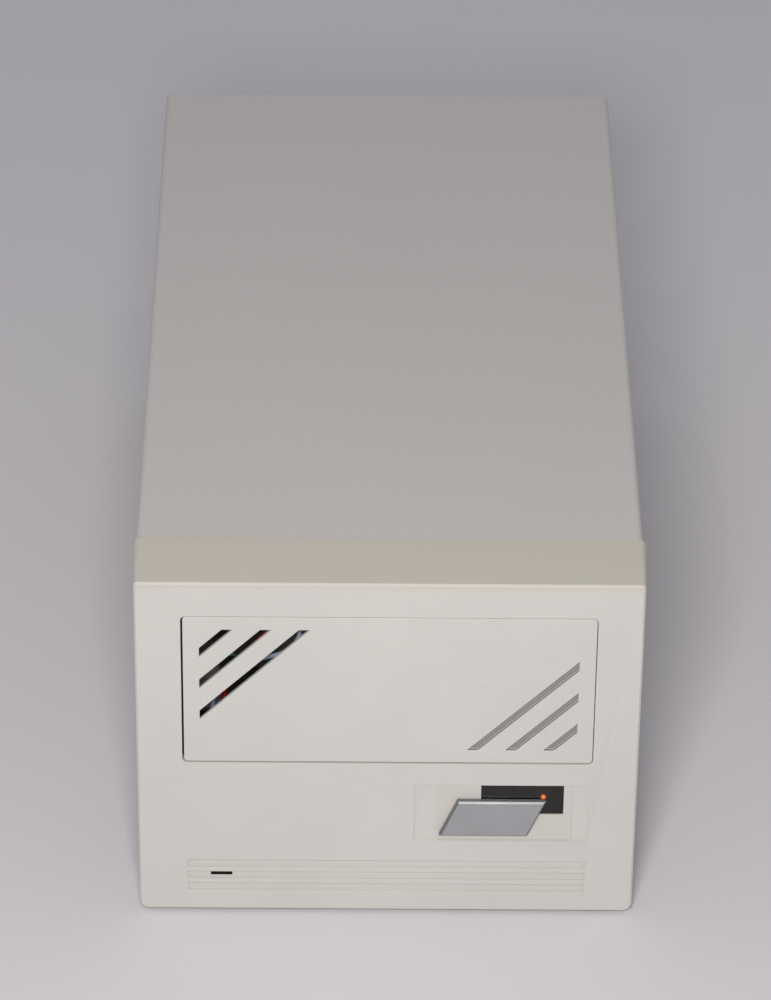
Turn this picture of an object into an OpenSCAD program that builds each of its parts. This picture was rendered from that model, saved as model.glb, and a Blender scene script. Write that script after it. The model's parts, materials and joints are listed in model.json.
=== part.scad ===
// External drive enclosure: a steel case with a moulded front, standing on four rubber feet.
// X runs across the front, Y from the front to the back, Z up from the table.
// The origin is on the table, under the middle of the box that holds the whole object.

/* [Front bezel] */
// Gap between the bezel and the table
bezel_gap = 0.8; // [0.5:0.1:2]
// Depth of the bezel, from its face to its back edge
bezel_depth = 19; // [18:0.5:25]
// Wall of the bezel
bezel_wall = 2.5; // [2.2:0.1:3]
// Flare of each side, from the face to the back edge
bezel_draft = 0.8; // [0.4:0.1:1.2]
// Width of the bevel round the face
face_bevel = 0.5; // [0.3:0.1:0.8]
// Radius of the upper corners of the face
upper_corner_r = 1; // [0.9:0.1:2]
// Radius of the lower corners of the face
lower_corner_r = 2.3; // [1.5:0.1:3]
// Length of the tongue that reaches back under the cover
tongue_l = 3; // [2:0.5:4]

/* [Bay blank] */
// How far the blank reaches past the drive at each end
blank_past_side = 0.2; // [0:0.1:1]
// How far the blank reaches past the drive above and below
blank_past_edge = 1.35; // [1:0.05:2]
// Distance from the blank to each side of the face
blank_side = 11.7; // [11.5:0.1:20]
// Distance from the top of the face down to the blank
blank_drop = 10.2; // [9.8:0.1:12]
// Height of the blank above the lower edge of the face
blank_lift = 47.1; // [45:0.1:60]
// Gap round the blank
blank_gap = 0.35; // [0.2:0.05:0.5]
// How far the blank sits to the right and up in its opening
blank_shift = 0.15; // [0:0.05:0.2]
// Radius of the blank's corners
blank_corner_r = 1; // [0.5:0.1:2]
// Number of slots in each of the two groups
slot_count = 3; // [1:1:3]
// Width across a slot
slot_w = 1.95; // [1.5:0.05:3]
// Distance between the middle lines of neighbouring slots, along the blank
slot_pitch = 9.5; // [6:0.5:10]
// Distance from the blank's end to the innermost slot, at half the blank's height
slot_offset = 11.8; // [9:0.1:19]
// Distance from the slots to the blank's ends
slot_side = 4; // [3:0.1:6]
// Distance from the slots to the blank's upper and lower edges
slot_end = 3.8; // [3:0.1:6]
// Thickness of the blank round the open slots, in its upper left corner
slot_wall = 1; // [0.8:0.1:1.5]
// Depth of the closed slots, in its lower right corner
slot_depth = 0.9; // [0.6:0.1:1.5]

/* [Label panel] */
// Width of the recess for the label
recess_w = 43.6; // [42:0.1:48]
// Height of the recess
recess_h = 17.5; // [15:0.1:20]
// Height of the recess above the lower edge of the face
recess_lift = 22.6; // [21:0.1:26]
// Depth of the recess
recess_depth = 0.5; // [0.3:0.1:0.8]
// Width of the smoked window
window_w = 20.6; // [18:0.1:22]
// Height of the smoked window
window_h = 8.85; // [7:0.05:10]
// Distance from the top of the recess down to the window
window_drop = 0.35; // [0.3:0.05:1]
// Distance from the right side of the recess to the window
window_side = 6.1; // [5:0.1:8]
// Width of the label film
film_w = 33.9; // [30:0.1:36]
// Distance from the right side of the recess to the film
film_side = 3.9; // [3:0.1:5]
// Thickness of the label film
film_t = 0.2; // [0.1:0.05:0.3]
// Width of the slanted plate
plate_w = 22.3; // [18:0.1:24]
// Height of the slanted plate
plate_h = 10.9; // [9:0.1:12]
// Sideways lean of the slanted plate
plate_slant = 4.6; // [3:0.1:6]
// Thickness of the slanted plate
plate_t = 1.6; // [1.2:0.1:2]
// Bevel round the front of the slanted plate
plate_bevel = 0.5; // [0.2:0.1:0.7]
// Height of the plate above the lower side of the recess
plate_lift = 2.2; // [1.5:0.1:3]
// Distance from the right side of the recess to the plate
plate_side = 10.4; // [8:0.1:12]

/* [Front grooves] */
// Number of grooves
groove_count = 3; // [1:1:3]
// Distance from the grooves to each side of the face
groove_side = 12.3; // [10:0.1:20]
// Height of each groove
groove_h = 2.3; // [1.5:0.1:2.6]
// Distance between neighbouring grooves
groove_pitch = 3.7; // [3.2:0.1:4.2]
// Height of the lowest groove above the lower edge of the face
groove_lift = 6.3; // [5:0.1:8]
// Depth of each groove
groove_depth = 0.7; // [0.6:0.1:1.4]
// Length of the slit in the middle groove
slit_w = 5.5; // [4:0.1:8]
// Height of the slit
slit_h = 1; // [0.8:0.1:1.2]
// Distance from the groove's left end to the slit
slit_side = 5.8; // [4:0.1:12]

/* [Case] */
// Room behind the drive, for the fan and the connectors
rear_room = 90.5; // [88:0.5:140]
// Thickness of the folded steel sheet
sheet = 1; // [0.8:0.1:1.2]
// How far the cover lies inside the back edge of the bezel
cover_inset = 0.7; // [0.5:0.1:0.9]
// Outside radius of the cover's folds
fold_r = 1.6; // [1.3:0.1:3]
// Gap between sheets that lie one inside the other
sheet_gap = 0.15; // [0.1:0.05:0.25]
// Height of the low flanges along the pan
flange_h = 11; // [8:0.5:14]
// Width of the cover's lips, which fold in over the rear panel
lip_w = 8; // [7:0.1:9]
// Distance from the bezel's back edge forward to the front panel
panel_setback = 2; // [1:0.5:3]

/* [Feet and screws] */
// Diameter of the rubber feet
foot_d = 12.7; // [10:0.1:16]
// Distance from the side of the pan to the middle of a foot
foot_side = 13; // [9:0.5:18]
// Distance from the face to the middle of the front feet
foot_front = 34; // [32:1:50]
// Distance from the back edge to the middle of the rear feet
foot_back = 18; // [10:1:30]
// Diameter of the screws
screw_d = 3; // [2.5:0.1:3.5]
// Diameter of the screw heads
screw_head_d = 5.6; // [5:0.1:6]
// Height of the screw heads
screw_head_h = 2; // [1.6:0.1:2.4]
// Length of the screws in the rear panel
screw_l = 8; // [6:0.5:10]

/* [Indicators] */
// Diameter of the indicator lamps
led_d = 3; // [2:0.1:3]
// Height of the lamps above their board
led_l = 5; // [4:0.1:5.2]
// Distance between the two lamps
led_pitch = 11; // [8:0.5:12]
// Distance from the right edge of the window to the activity lamp
led_side = 4.9; // [3:0.1:6]
// Distance from the top of the window down to the lamps
led_drop = 6.7; // [2.5:0.1:7]
// Height of the indicator board
led_board_h = 11; // [10:0.5:12]
// Distance from the bezel's wall to the indicator board
led_board_back = 6.5; // [6.5:0.1:7.5]

/* [Drive] */
// Width of the drive
drive_w = 101.6; // [100:0.1:101.6]
// Height of the drive
drive_h = 41.3; // [40:0.1:42]
// Length of the drive
drive_l = 146; // [144:0.5:150]
// Distance from the blank back to the drive
drive_setback = 4; // [4:0.1:6]
// Distance from the drive's front to the spindle
spindle_back = 54; // [53:0.5:56]
// Thickness of the drive's lid
lid_t = 1.5; // [1:0.1:2]
// Wall of the drive's casting
casting_wall = 2.5; // [2:0.1:2.6]
// Width of the rails under the casting
rail_w = 8; // [7:0.1:9]
// Height of the rails
rail_h = 12; // [11:0.5:13]
// Gap between the platters and the wall round them
platter_gap = 0.8; // [0.6:0.1:3]
// Thickness of the platters
platter_t = 1.2; // [0.8:0.1:1.5]
// Distance between neighbouring platters
platter_pitch = 6; // [5.5:0.1:6.4]
// Number of platters
platter_count = 3; // [1:1:3]
// Length of the head arm, from its pivot to the heads
arm_l = 50; // [48:0.5:51]
// Radius on the platter at which the heads park
park_r = 20; // [19.5:0.5:24]

/* [Drive tray] */
// Distance from the back of the drive forward to the back of the tray
tray_short = 3.5; // [2:0.5:10]
// Thickness of the tray
tray_t = 1.2; // [1:0.1:1.6]
// Gap between the tray and the flanges of the pan
tray_side = 1.5; // [1:0.1:3]
// Width of the tray's feet
tray_foot_w = 9; // [8:0.5:10]

/* [Power supply] */
// Gap between the supply board and the tray's feet
supply_side = 4.15; // [3:0.05:7]
// Length of the supply board
supply_l = 118; // [116:1:122]
// Distance from the face to the supply board
supply_front = 42; // [38:1:50]
// Height of the standoffs under the board
standoff_h = 6; // [5:0.5:8]
// Height of the transformer
transformer_h = 26; // [20:1:30]
// Diameter of the mains capacitor
mains_cap_d = 22; // [18:1:24]
// Height of the mains capacitor
mains_cap_h = 30; // [25:1:32]
// Diameter of the output capacitors
output_cap_d = 10; // [8:0.5:10]
// Height of the output capacitors
output_cap_h = 20; // [15:1:25]
// Height of the heat sinks
sink_h = 25; // [20:1:30]

/* [Fan] */
// Width and height of the fan
fan_size = 40; // [38:0.5:42]
// Depth of the fan
fan_depth = 20; // [16:1:24]
// Distance between the fan's screw holes
fan_hole_pitch = 32; // [31.5:0.1:33]
// Diameter of the fan's bore
fan_bore_d = 36.8; // [36.8:0.1:37.4]
// Diameter of the rotor's hub
fan_hub_d = 21; // [18:0.5:22]
// Number of blades
blade_count = 7; // [5:1:9]
// Distance from the side of the rear panel to the fan
fan_side = 8; // [8:0.5:10]
// Height of the fan above the pan
fan_lift = 3; // [2:0.5:5]
// Diameter of the wire of the finger guard
guard_wire_d = 1.2; // [1:0.1:1.4]

/* [Data connectors] */
// Sideways place of the data connectors and the drive's data socket
data_x = 4; // [2:0.5:5]
// Distance from the top of the rear panel down to the upper connector
data_drop = 14.5; // [13.5:0.5:16]
// Distance between the two connectors
data_pitch = 22; // [22:0.5:24]
// Width of a connector's mounting flange
data_flange_w = 89; // [88:0.5:90]
// Height of a connector's mounting flange
data_flange_h = 16; // [15.6:0.1:17]
// Distance between the flange's screw holes
data_hole_pitch = 83; // [82.5:0.1:84]
// Width inside the hood
hood_w = 66.4; // [64:0.1:67]
// Height inside the hood
hood_h = 11.6; // [11:0.1:12]
// How far the hood stands out of its flange
hood_l = 6; // [5:0.5:8]
// Length of a bail, from its pivot to its crossbar
bail_l = 12; // [10:0.5:12]
// Diameter of the wire of a bail
bail_wire_d = 1.2; // [1:0.1:1.3]
// Resting angle of a bail, measured up from the panel
bail_rest = 35; // [30:1:60]

/* [Mains inlet] */
// Width of the inlet's flange
inlet_flange_w = 31; // [30:0.5:32]
// Height of the inlet's flange
inlet_flange_h = 24; // [23:0.5:26]
// Width of the socket
socket_w = 24.4; // [24:0.1:25]
// Height of the socket
socket_h = 16.6; // [16:0.1:17]
// Depth of the socket
socket_depth = 15.5; // [14:0.5:17]
// Distance from the side of the rear panel to the inlet
inlet_side = 9; // [8.5:0.5:10]

/* [Power switch] */
// Width of the switch's flange
switch_w = 15; // [14.5:0.5:16]
// Height of the switch's flange
switch_h = 23; // [22.5:0.5:25]
// Length of the rocker
rocker_h = 16.6; // [16:0.1:17]
// Width of the rocker
rocker_w = 10.6; // [10:0.1:10.8]
// Tilt of the rocker to each side
rocker_tilt = 12; // [8:1:12]
// Gap between neighbouring parts in the lower row of the rear panel
panel_part_gap = 4; // [3:0.5:4.5]

/* [Address switch] */
// Width of the address switch's flange
address_w = 10; // [9.5:0.5:11]
// Height of the address switch's flange
address_h = 24; // [23.5:0.5:26]
// Diameter of the number wheel
wheel_d = 10; // [9:0.1:10.4]
// Width of the number wheel
wheel_w = 4.6; // [4:0.1:5]
// Width of each button
button_w = 3; // [2.5:0.1:3.2]
// How far the buttons stand out of the flange
button_out = 2; // [1.8:0.1:3]

/* [Hidden] */
$fn = 64;

// General clearances
cut = 1;
fit = 0.1;
seat_gap = 0.2;
joint_gap = 0.2;
running_gap = 0.05;

// Main sizes, worked out from the drive
blank_w = drive_w + 2 * blank_past_side;
blank_h = drive_h + 2 * blank_past_edge;
face_w = blank_w + 2 * blank_side;
face_h = blank_lift + blank_h + blank_drop;
drive_y = bezel_wall + drive_setback;
case_depth = drive_y + drive_l + rear_room;

// Front bezel
face_top = bezel_gap + face_h;
cavity_w = face_w - 2 * bezel_wall;
cavity_z = bezel_gap + bezel_wall;
cavity_top = face_top - bezel_wall;
boss_d = 6;
boss_gap = 1.2;
boss_bore_l = 11;
boss_x = blank_w / 2 + blank_gap + boss_gap + boss_d / 2;
boss_low_lift = 2.8;

// Bay blank
blank_top = face_top - blank_drop;
blank_z = blank_top - blank_h;
blank_mid = blank_z + blank_h / 2;
slot_first = blank_w / 2 - slot_offset;
thin_rim = 1;
thin_x = [slot_side - thin_rim - blank_w / 2,
    blank_h / 2 - slot_end + slot_w + thin_rim - slot_first];
thin_z = [slot_first + slot_side - blank_w / 2 - slot_w - thin_rim,
    blank_h / 2 - slot_end + thin_rim];
hook_w = 8;
hook_x = 30;
hook_t = 1.2;
hook_catch = 0.8;
hook_nose = 2;
hook_tip = 1.2;
boss_z = [cavity_z + boss_low_lift + boss_d / 2, blank_top + blank_gap + boss_gap + boss_d / 2];

// Label panel and grooves
groove_l = face_w - 2 * groove_side;
panel_side = groove_l / 2;
recess_x = [panel_side - recess_w, panel_side];
recess_z = bezel_gap + recess_lift;
recess_top = recess_z + recess_h;
window_x = [recess_x[1] - window_side - window_w, recess_x[1] - window_side];
window_z = [recess_top - window_drop - window_h, recess_top - window_drop];
window_rim = 1;
window_rim_t = 1;
film_x = [recess_x[1] - film_side - film_w, recess_x[1] - film_side];
film_margin = 0.15;
plate_out = plate_t + film_t - recess_depth;
plate_x = recess_x[1] - plate_side - plate_slant - plate_w;
plate_z = recess_z + plate_lift;

// Case
cover_w = face_w + 2 * (bezel_draft - cover_inset);
cover_top = face_top + bezel_draft - cover_inset;
pan_z = cavity_z + seat_gap;
pan_top = pan_z + sheet;
chassis_w = cover_w - 2 * (sheet + sheet_gap);
chassis_top = cover_top - sheet - sheet_gap;
front_panel_y = bezel_depth - panel_setback;
front_panel_w = cavity_w - 2 * seat_gap;
pan_gap = 0.5;
wide_y = bezel_depth + tongue_l + pan_gap;
panel_out = case_depth - sheet;
panel_in = panel_out - sheet;
lip_end = 3;
vent_w = 3;
vent_l = 26;
vent_count = 7;
vent_pitch = 11;
vent_y = [60, 110];
intake_l = 12;
foot_bevel = 0.8;

// Screws
screw_hole_d = screw_d + 2 * running_gap;
cross_l_share = 0.62;
cross_w_share = 0.16;
cross_depth_share = 0.6;
cover_screw_x = cover_w / 2 - lip_w / 2;
cover_screw_lift = 9;
cover_screw_drop = 25;
cover_screw_z = [pan_top + cover_screw_lift, chassis_top - cover_screw_drop];
bezel_screw_l = 9;
inner_screw_l = 4;
drive_screw_l = 6;

// Indicators
led_x = [window_x[1] - led_side - led_pitch, window_x[1] - led_side];
led_z = window_z[1] - led_drop;
led_y = bezel_wall + led_board_back;
led_collar_d = 3.8;
led_collar_t = 1;
board_t = 1.6;
post_d = 3.2;
post_gap = 0.6;
post_pin_d = 1.6;
post_pin_out = 1;
post_x = window_w / 2 + window_rim + post_gap + post_d / 2;
led_board_margin = 2.2;
led_board_w = 2 * (post_x + led_board_margin);
led_board_x = (window_x[0] + window_x[1]) / 2;
wire_d = 1.2;
lamp_red_route = [[23, 11, 38.4], [20, 14.2, 38.6], [8, 14.2, 41.4], [-14, 13.4, 43.4], [-33, 12.5, 45],
    [-41, 11.5, 52], [-40, 9.6, 66], [-35, 8.4, 75.4], [-30.4, 8, 80], [-27, 9.4, 83.6], [-24.8, 12.7, 85]];
lamp_blue_route = [[23, 11, 35.6], [19.6, 15.2, 35.4], [6, 15.2, 39.4], [-15, 14.8, 41.2], [-35, 14, 42.6],
    [-43.6, 13, 51], [-42.6, 12, 63], [-38, 10.9, 69], [-31, 9, 73.4], [-25.5, 8, 76.2], [-22.4, 9.2, 79.6],
    [-22.2, 12.5, 83]];

// Drive
drive_z = blank_mid - drive_h / 2;
drive_clear = 1;
drum_r = drive_w / 2;
drum_facets = 96;
bowl_r = drum_r - casting_wall;
bowl_z = rail_h + casting_wall;
bowl_top = drive_h - lid_t;
nose_x = 12;
nose_t = 9;
end_wall = 3;
rail_front = 26;
rail_back = 13;
rail_hole_side = 3.2;
rail_hole_x = drive_w / 2 - rail_hole_side;
rail_hole_back = [41.3, 85.7];
rail_hole_l = 8;
pin_block = [6, 3.6, 5];
pin_block_x = -26.5;
pin_block_out = 1;
pin_block_y = spindle_back - pin_block_out
    - sqrt(drum_r * drum_r - pow(pin_block_x + pin_block[0], 2));
pin_block_drop = 8.6;
lid_boss_d = 6.6;
lid_screw_d = 2;
lid_screw_l = 5;
lid_head_d = 3.6;
lid_head_h = 1;
lid_inset = 5.5;
lid_edge = 3;
lid_nose_x = lid_edge + lid_screw_d / 2 - nose_x;
lid_nose_y = lid_edge;
lid_dish_t = 0.6;
lid_dish_share = 0.9;
post_r = 3;
board_rise = 2;
drive_board_front = 34;
drive_board_gap = 0.8;
drive_board_end = 1;
board_boss_d = 6;
board_boss_x_share = 0.354;
board_boss_y_shares = [0.308, 0.877];
chip_size = [20, 20, 3];
chip_shares = [[-0.177, 0.411], [0.118, 0.411], [-0.04, 0.657]];
data_socket_w = 64;
data_socket_l = 9;
socket_rise = 8;
power_socket_w = 20.6;
power_socket_l = 12;
power_socket_side = 0.8;
board_tab_l = 11;
platter_d = 2 * (bowl_r - platter_gap);
platter_bore_d = 25;
hub_gap = 1;
hub_flange_d = 32;
hub_flange_t = 3;
hub_clamp_t = 2;
hub_z = bowl_z + hub_gap;
clamp_z = hub_z + hub_flange_t + (platter_count - 1) * platter_pitch + platter_t;
arm_side = 20.8;
arm_back = 48;
arm_pivot = [drive_w / 2 - arm_side, arm_back];
arm_t = 1.2;
arm_hub_d = 14;
arm_root_w = 10;
arm_tip_w = 4;
arm_hub_lift = 0.6;
arm_span = norm(arm_pivot);
arm_turn = acos((arm_span * arm_span + arm_l * arm_l - park_r * park_r) / (2 * arm_span * arm_l));
arm_rest = atan2(-arm_pivot[1], -arm_pivot[0]) + arm_turn;
arm_first_z = hub_z + hub_flange_t - (platter_pitch - platter_t) / 2 - arm_t / 2;
arm_hub_top = arm_first_z + platter_count * platter_pitch + arm_t + arm_hub_lift;
coil_t = 4;
coil_in = 10;
coil_out = 33;
coil_root_w = 8;
coil_window_w = 4;
coil_end_w = 16;
coil_rim = 3;
coil_lift = 5;
coil_z = bowl_z + coil_lift;
yoke_t = 4;
yoke_gap = 1;
yoke_w = 23;
yoke_lead = 6;
yoke_clear = 2.4;
yoke_y = [arm_hub_d / 2 + yoke_lead, coil_out + yoke_clear];
yoke_back_t = 3;

// Drive tray
tray_w = chassis_w - 2 * (sheet + tray_side);
tray_y = front_panel_y + sheet + screw_head_h + drive_clear;
tray_l = drive_y + drive_l - tray_short - tray_y;
tray_top = drive_z;
tray_screw_end = 14;
tray_slot_w = 30;
tray_slot_l = 70;

// Power supply
supply_w = tray_w - 2 * (tray_foot_w + supply_side);
supply_z = pan_top + standoff_h;
supply_top = supply_z + board_t;
standoff_d = 5.5;
standoff_inset = 5;
transformer_size = [34, 28];
transformer_shares = [0.13, 0.525];
bobbin_size = [22, 34];
bobbin_h_share = 0.7;
mains_cap_shares = [-0.326, 0.254];
output_cap_shares = [-0.391, 0.61];
output_cap_pitch = 12;
sink_t = 3;
sink_l = 40;
sink_fin_t = 1.6;
sink_fin_w = 6;
sink_fin_count = 4;
sink_shares = [[0.37, 0.186], [-0.174, 0.525]];
choke_r = 9;
choke_wire_r = 4;
choke_shares = [0.13, 0.22];
header_l = 9;
header_h = 11;
header_gap = 2.2;
header_inset = standoff_inset + screw_head_d / 2 + header_gap;
input_header_w = 20;
input_header_x = supply_w / 2 - header_inset - input_header_w / 2;
output_header_w = 28;
output_header_x = header_inset + output_header_w / 2 - supply_w / 2;

// Fan
fan_x = -(chassis_w / 2 - fan_side - fan_size / 2);
fan_z = pan_top + fan_lift + fan_size / 2;
fan_corner_r = 3;
fan_hole_gap = 0.6;
fan_hole_d = fan_bore_d + 2 * fan_hole_gap;
motor_d = 22;
motor_t = 2.5;
strut_w = 2;
strut_t = 2;
rotor_face = 2.5;
rotor_back = 3.2;
shaft_d = 2;
blade_gap = 0.5;
blade_t = 1.1;
blade_tilt = 42;
blade_chord = 14;
blade_half = (blade_chord * cos(blade_tilt) + blade_t * sin(blade_tilt)) / 2;
blade_reach = sqrt(pow(fan_bore_d / 2 - blade_gap, 2) - blade_half * blade_half);
guard_h = 3.4;
guard_rings = [6, 11, 16];
guard_turn = 45;
eyelet_r = 2.2;

// Data connectors
upper_z = chassis_top - data_drop;
lower_z = upper_z - data_pitch;
hood_slant = 2;
hood_t = 0.8;
flange_t = 1;
insert_back = 10;
tongue_w = 60;
tongue_h = 4.8;
tongue_short = 0.8;
ear_w = 5;
ear_out = 3.6;
ear_t = 0.8;
ear_inset = 6.5;
ear_margin = 0.2;
ear_x = data_flange_w / 2 - ear_inset;
ear_z = data_flange_h / 2 - ear_t - ear_margin;
pivot_out = 2;
bail_bend_r = 1.2;
bail_leg_z = ear_z + ear_t + seat_gap + bail_bend_r;
bail_pin_in = 0.4;
bail_pin_z = ear_z - bail_pin_in;

// Mains inlet
inlet_x = chassis_w / 2 - inlet_side - inlet_flange_w / 2;
inlet_flange_t = 2.5;
inlet_wall = 1.6;
inlet_back_t = 3;
inlet_corner = 5;
blade_w = 2;
blade_h = 4;
blade_recess = 5;
blade_tab_l = 8;
blade_places = [[-7, -2], [7, -2], [0, 2]];

// Power switch
switch_x = inlet_x - inlet_flange_w / 2 - panel_part_gap - switch_w / 2;
switch_flange_t = 2;
switch_rim = 1.1;
switch_wall = 0.9;
switch_end_wall = 1.2;
switch_depth = 14;
switch_well = 6;
rocker_pivot_in = 1.5;
rocker_pivot_d = 2.4;
rocker_pin_l = 0.8;
rocker_edge = 2.2;
rocker_mid = 0.6;
rocker_deep = 3.6;
rocker_keel = 4.5;
rocker_foot_share = 0.89;

// Address switch
address_x = switch_x - switch_w / 2 - panel_part_gap - address_w / 2;
address_flange_t = 1.5;
address_rim = 1;
address_depth = 12;
wheel_gap = 0.4;
wheel_side_gap = 0.3;
wheel_in = 0.8;
wheel_window_share = 0.8;
wheel_shaft_d = 1.6;
wheel_shaft_l = 0.8;
wheel_facets = 8;
button_z = 8;
button_l = 7.5;
button_well = 8;

// Leads
ribbon_t = 0.9;
ribbon_w = 63.5;
ribbon_bend_r = 10;
ribbon_over = 7;
plug_t = 6;
plug_h = 8;
power_plug_l = 10;
power_wire_pitch = 5;
power_wire_count = 4;
header_wire_pitch = 4;
lead_d = 1.8;
mains_d = 2.4;
lead_points = [[10, 57], [16.5, 56.4], [23.1, 48], [23.1, 32], [15.5, 21], [8, 18.4]];
mains_live_route = [[44.2, 217.5, 25.6], [44, 211, 27], [36, 205, 33], [20, 208, 35], [12, 218, 33],
    [10.2, 227.6, 31.6]];
mains_switched_route = [[10.2, 227.5, 23.6], [11, 218, 21], [14, 200, 16.4], [22, 178, 15.4],
    [23, 168, 16.6], [23, 160.5, 18]];
mains_neutral_route = [[30.2, 217.5, 25.6], [30.6, 208, 23], [31, 190, 16.4], [30, 172, 15.8],
    [29, 160.5, 18]];
fan_red_route = [[-19, 220.7, 14], [-19.2, 213, 12.6], [-18, 196, 12], [-15.6, 174, 14.6],
    [-15, 160.4, 17.4]];
fan_black_route = [[-16, 220.7, 14], [-16.2, 213, 12.4], [-15, 196, 12], [-12.6, 174, 14.6],
    [-12, 160.4, 17.4]];

// Whole object: the slanted plate is its front end, and the resting bails its rear end
bail_reach = panel_out + flange_t + pivot_out + bail_l * sin(bail_rest) + bail_wire_d / 2;
overall_l = plate_out + max(bail_reach, panel_out + address_flange_t + button_out,
    panel_out + guard_h + guard_wire_d / 2, panel_out + flange_t + hood_l);
face_y = plate_out - overall_l / 2;

// Colours
shell_grey = "#cbc8c3";
blank_grey = "#cfccc7";
paint_grey = "#b5b0ad";
zinc = "#b9bcbf";
steel = "#a9abad";
casting = "#9c9fa1";
black = "#222224";
board_green = "#2c5a36";
board_tan = "#b48a52";
cream = "#e4ddc6";

// Everything below is drawn with the bezel's face at Y = 0
module placed() translate([0, face_y, 0]) children();

// A flat outline drawn as [X, Z], made solid from y over the length l
module along_y(y, l) translate([0, y + l, 0]) rotate([90, 0, 0]) linear_extrude(l) children();

// A flat outline drawn as [Y, Z], made solid from x over the length l
module along_x(x, l) translate([x, 0, 0]) rotate([90, 0, 90]) linear_extrude(l) children();

// A pair of limits: from a over the length l, or the length l centred on a
function from(a, l) = [a, a + l];

function about(a, l) = [a - l / 2, a + l / 2];

// A block from its lower to its upper X, Y and Z
module span(x, y, z)
    translate([x[0], y[0], z[0]]) cube([x[1] - x[0], y[1] - y[0], z[1] - z[0]]);

// A round bar that points along Y from y over the length l
module bar_y(x, y, z, d, l) translate([x, y, z]) rotate([-90, 0, 0]) cylinder(d = d, h = l);

module rounded_rect(w, h, r) {
    square([w - 2 * r, h], center = true);
    square([w, h - 2 * r], center = true);
    for (x = [-1, 1], y = [-1, 1]) translate([x * (w / 2 - r), y * (h / 2 - r)]) circle(r);
}

// A doorway outline, square at the bottom and rounded at the top, drawn as [X, Z]
module arch(w, z0, z1, r) {
    translate([-w / 2, z0]) square([w, z1 - z0 - r]);
    translate([r - w / 2, z0]) square([w - 2 * r, z1 - z0]);
    for (side = [-1, 1]) translate([side * (w / 2 - r), z1 - r]) circle(r);
}

// A block that grows evenly on all four sides from y to y + l
module drafted_block(y, l, w, z0, z1, grow, r_up, r_low) {
    mid = (z0 + z1) / 2;
    translate([0, 0, z0 + r_low]) linear_extrude(z1 - r_up - z0 - r_low)
        polygon([[-w / 2, y], [w / 2, y], [w / 2 + grow, y + l], [-w / 2 - grow, y + l]]);
    along_x(r_up - w / 2, w - 2 * r_up)
        polygon([[y, mid], [y, z1], [y + l, z1 + grow], [y + l, mid]]);
    along_x(r_low - w / 2, w - 2 * r_low)
        polygon([[y, mid], [y + l, mid], [y + l, z0 - grow], [y, z0]]);
    for (side = [-1, 1]) {
        translate([side * (w / 2 - r_up), y, z1 - r_up]) rotate([-90, 0, 0])
            cylinder(h = l, r1 = r_up, r2 = r_up + grow);
        translate([side * (w / 2 - r_low), y, z0 + r_low]) rotate([-90, 0, 0])
            cylinder(h = l, r1 = r_low, r2 = r_low + grow);
    }
}

// A pan-head screw with its seat at the origin, its head up and its shank down
module pan_screw(l, d = screw_d, head_d = screw_head_d, head_h = screw_head_h) {
    difference() {
        union() {
            cylinder(d = head_d, h = head_h / 2);
            translate([0, 0, head_h / 2]) cylinder(d1 = head_d, d2 = head_d - head_h, h = head_h / 2);
        }
        for (turn = [0, 90]) rotate(turn)
            translate([0, 0, head_h]) cube([head_d * cross_l_share, head_d * cross_w_share,
                2 * head_h * cross_depth_share], center = true);
    }
    translate([0, 0, -l]) cylinder(d = d, h = l);
}

// The same screw with its head towards the back
module rear_facing_screw(x, y, z, l) translate([x, y, z]) rotate([-90, 0, 0]) pan_screw(l);

// One point of the smooth curve between b and c
function curve_at(a, b, c, d, t) =
    (2 * b + (c - a) * t + (2 * a - 5 * b + 4 * c - d) * t * t + (3 * b - a - 3 * c + d) * t * t * t) / 2;

function smooth(route, steps) = let (last = len(route) - 1) concat(
    [for (i = [0 : last - 1]) for (k = [0 : steps - 1])
        curve_at(route[max(i - 1, 0)], route[i], route[i + 1], route[min(i + 2, last)], k / steps)],
    [route[last]]);

function unit(v) = v / norm(v);

function squared_up(side, along) = unit(side - along * (side * along));

// A round lead swept along its route
module lead(route, d, sides = 8, steps = 3) {
    path = smooth(route, steps);
    last = len(path) - 1;
    along = [for (i = [0 : last]) unit(path[min(i + 1, last)] - path[max(i - 1, 0)])];
    first = abs(along[0].z) < abs(along[0].x) + abs(along[0].y) ? [0, 0, 1] : [1, 0, 0];
    side = [for (i = 0, s = squared_up(first, along[0]); i <= last;
        i = i + 1, s = i <= last ? squared_up(s, along[i]) : s) s];
    points = [for (i = [0 : last]) for (k = [0 : sides - 1])
        path[i] + d / 2 * (cos(360 * k / sides) * side[i] + sin(360 * k / sides) * cross(along[i], side[i]))];
    walls = [for (i = [0 : last - 1]) for (k = [0 : sides - 1]) for (half = [0, 1])
        let (a = i * sides + k, b = i * sides + (k + 1) % sides)
        half == 0 ? [a, a + sides, b] : [b, a + sides, b + sides]];
    start_cap = [for (k = [0 : sides - 1]) k];
    end_cap = [for (k = [sides - 1 : -1 : 0]) last * sides + k];
    polyhedron(points = points, faces = concat([start_cap], walls, [end_cap]));
}

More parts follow.
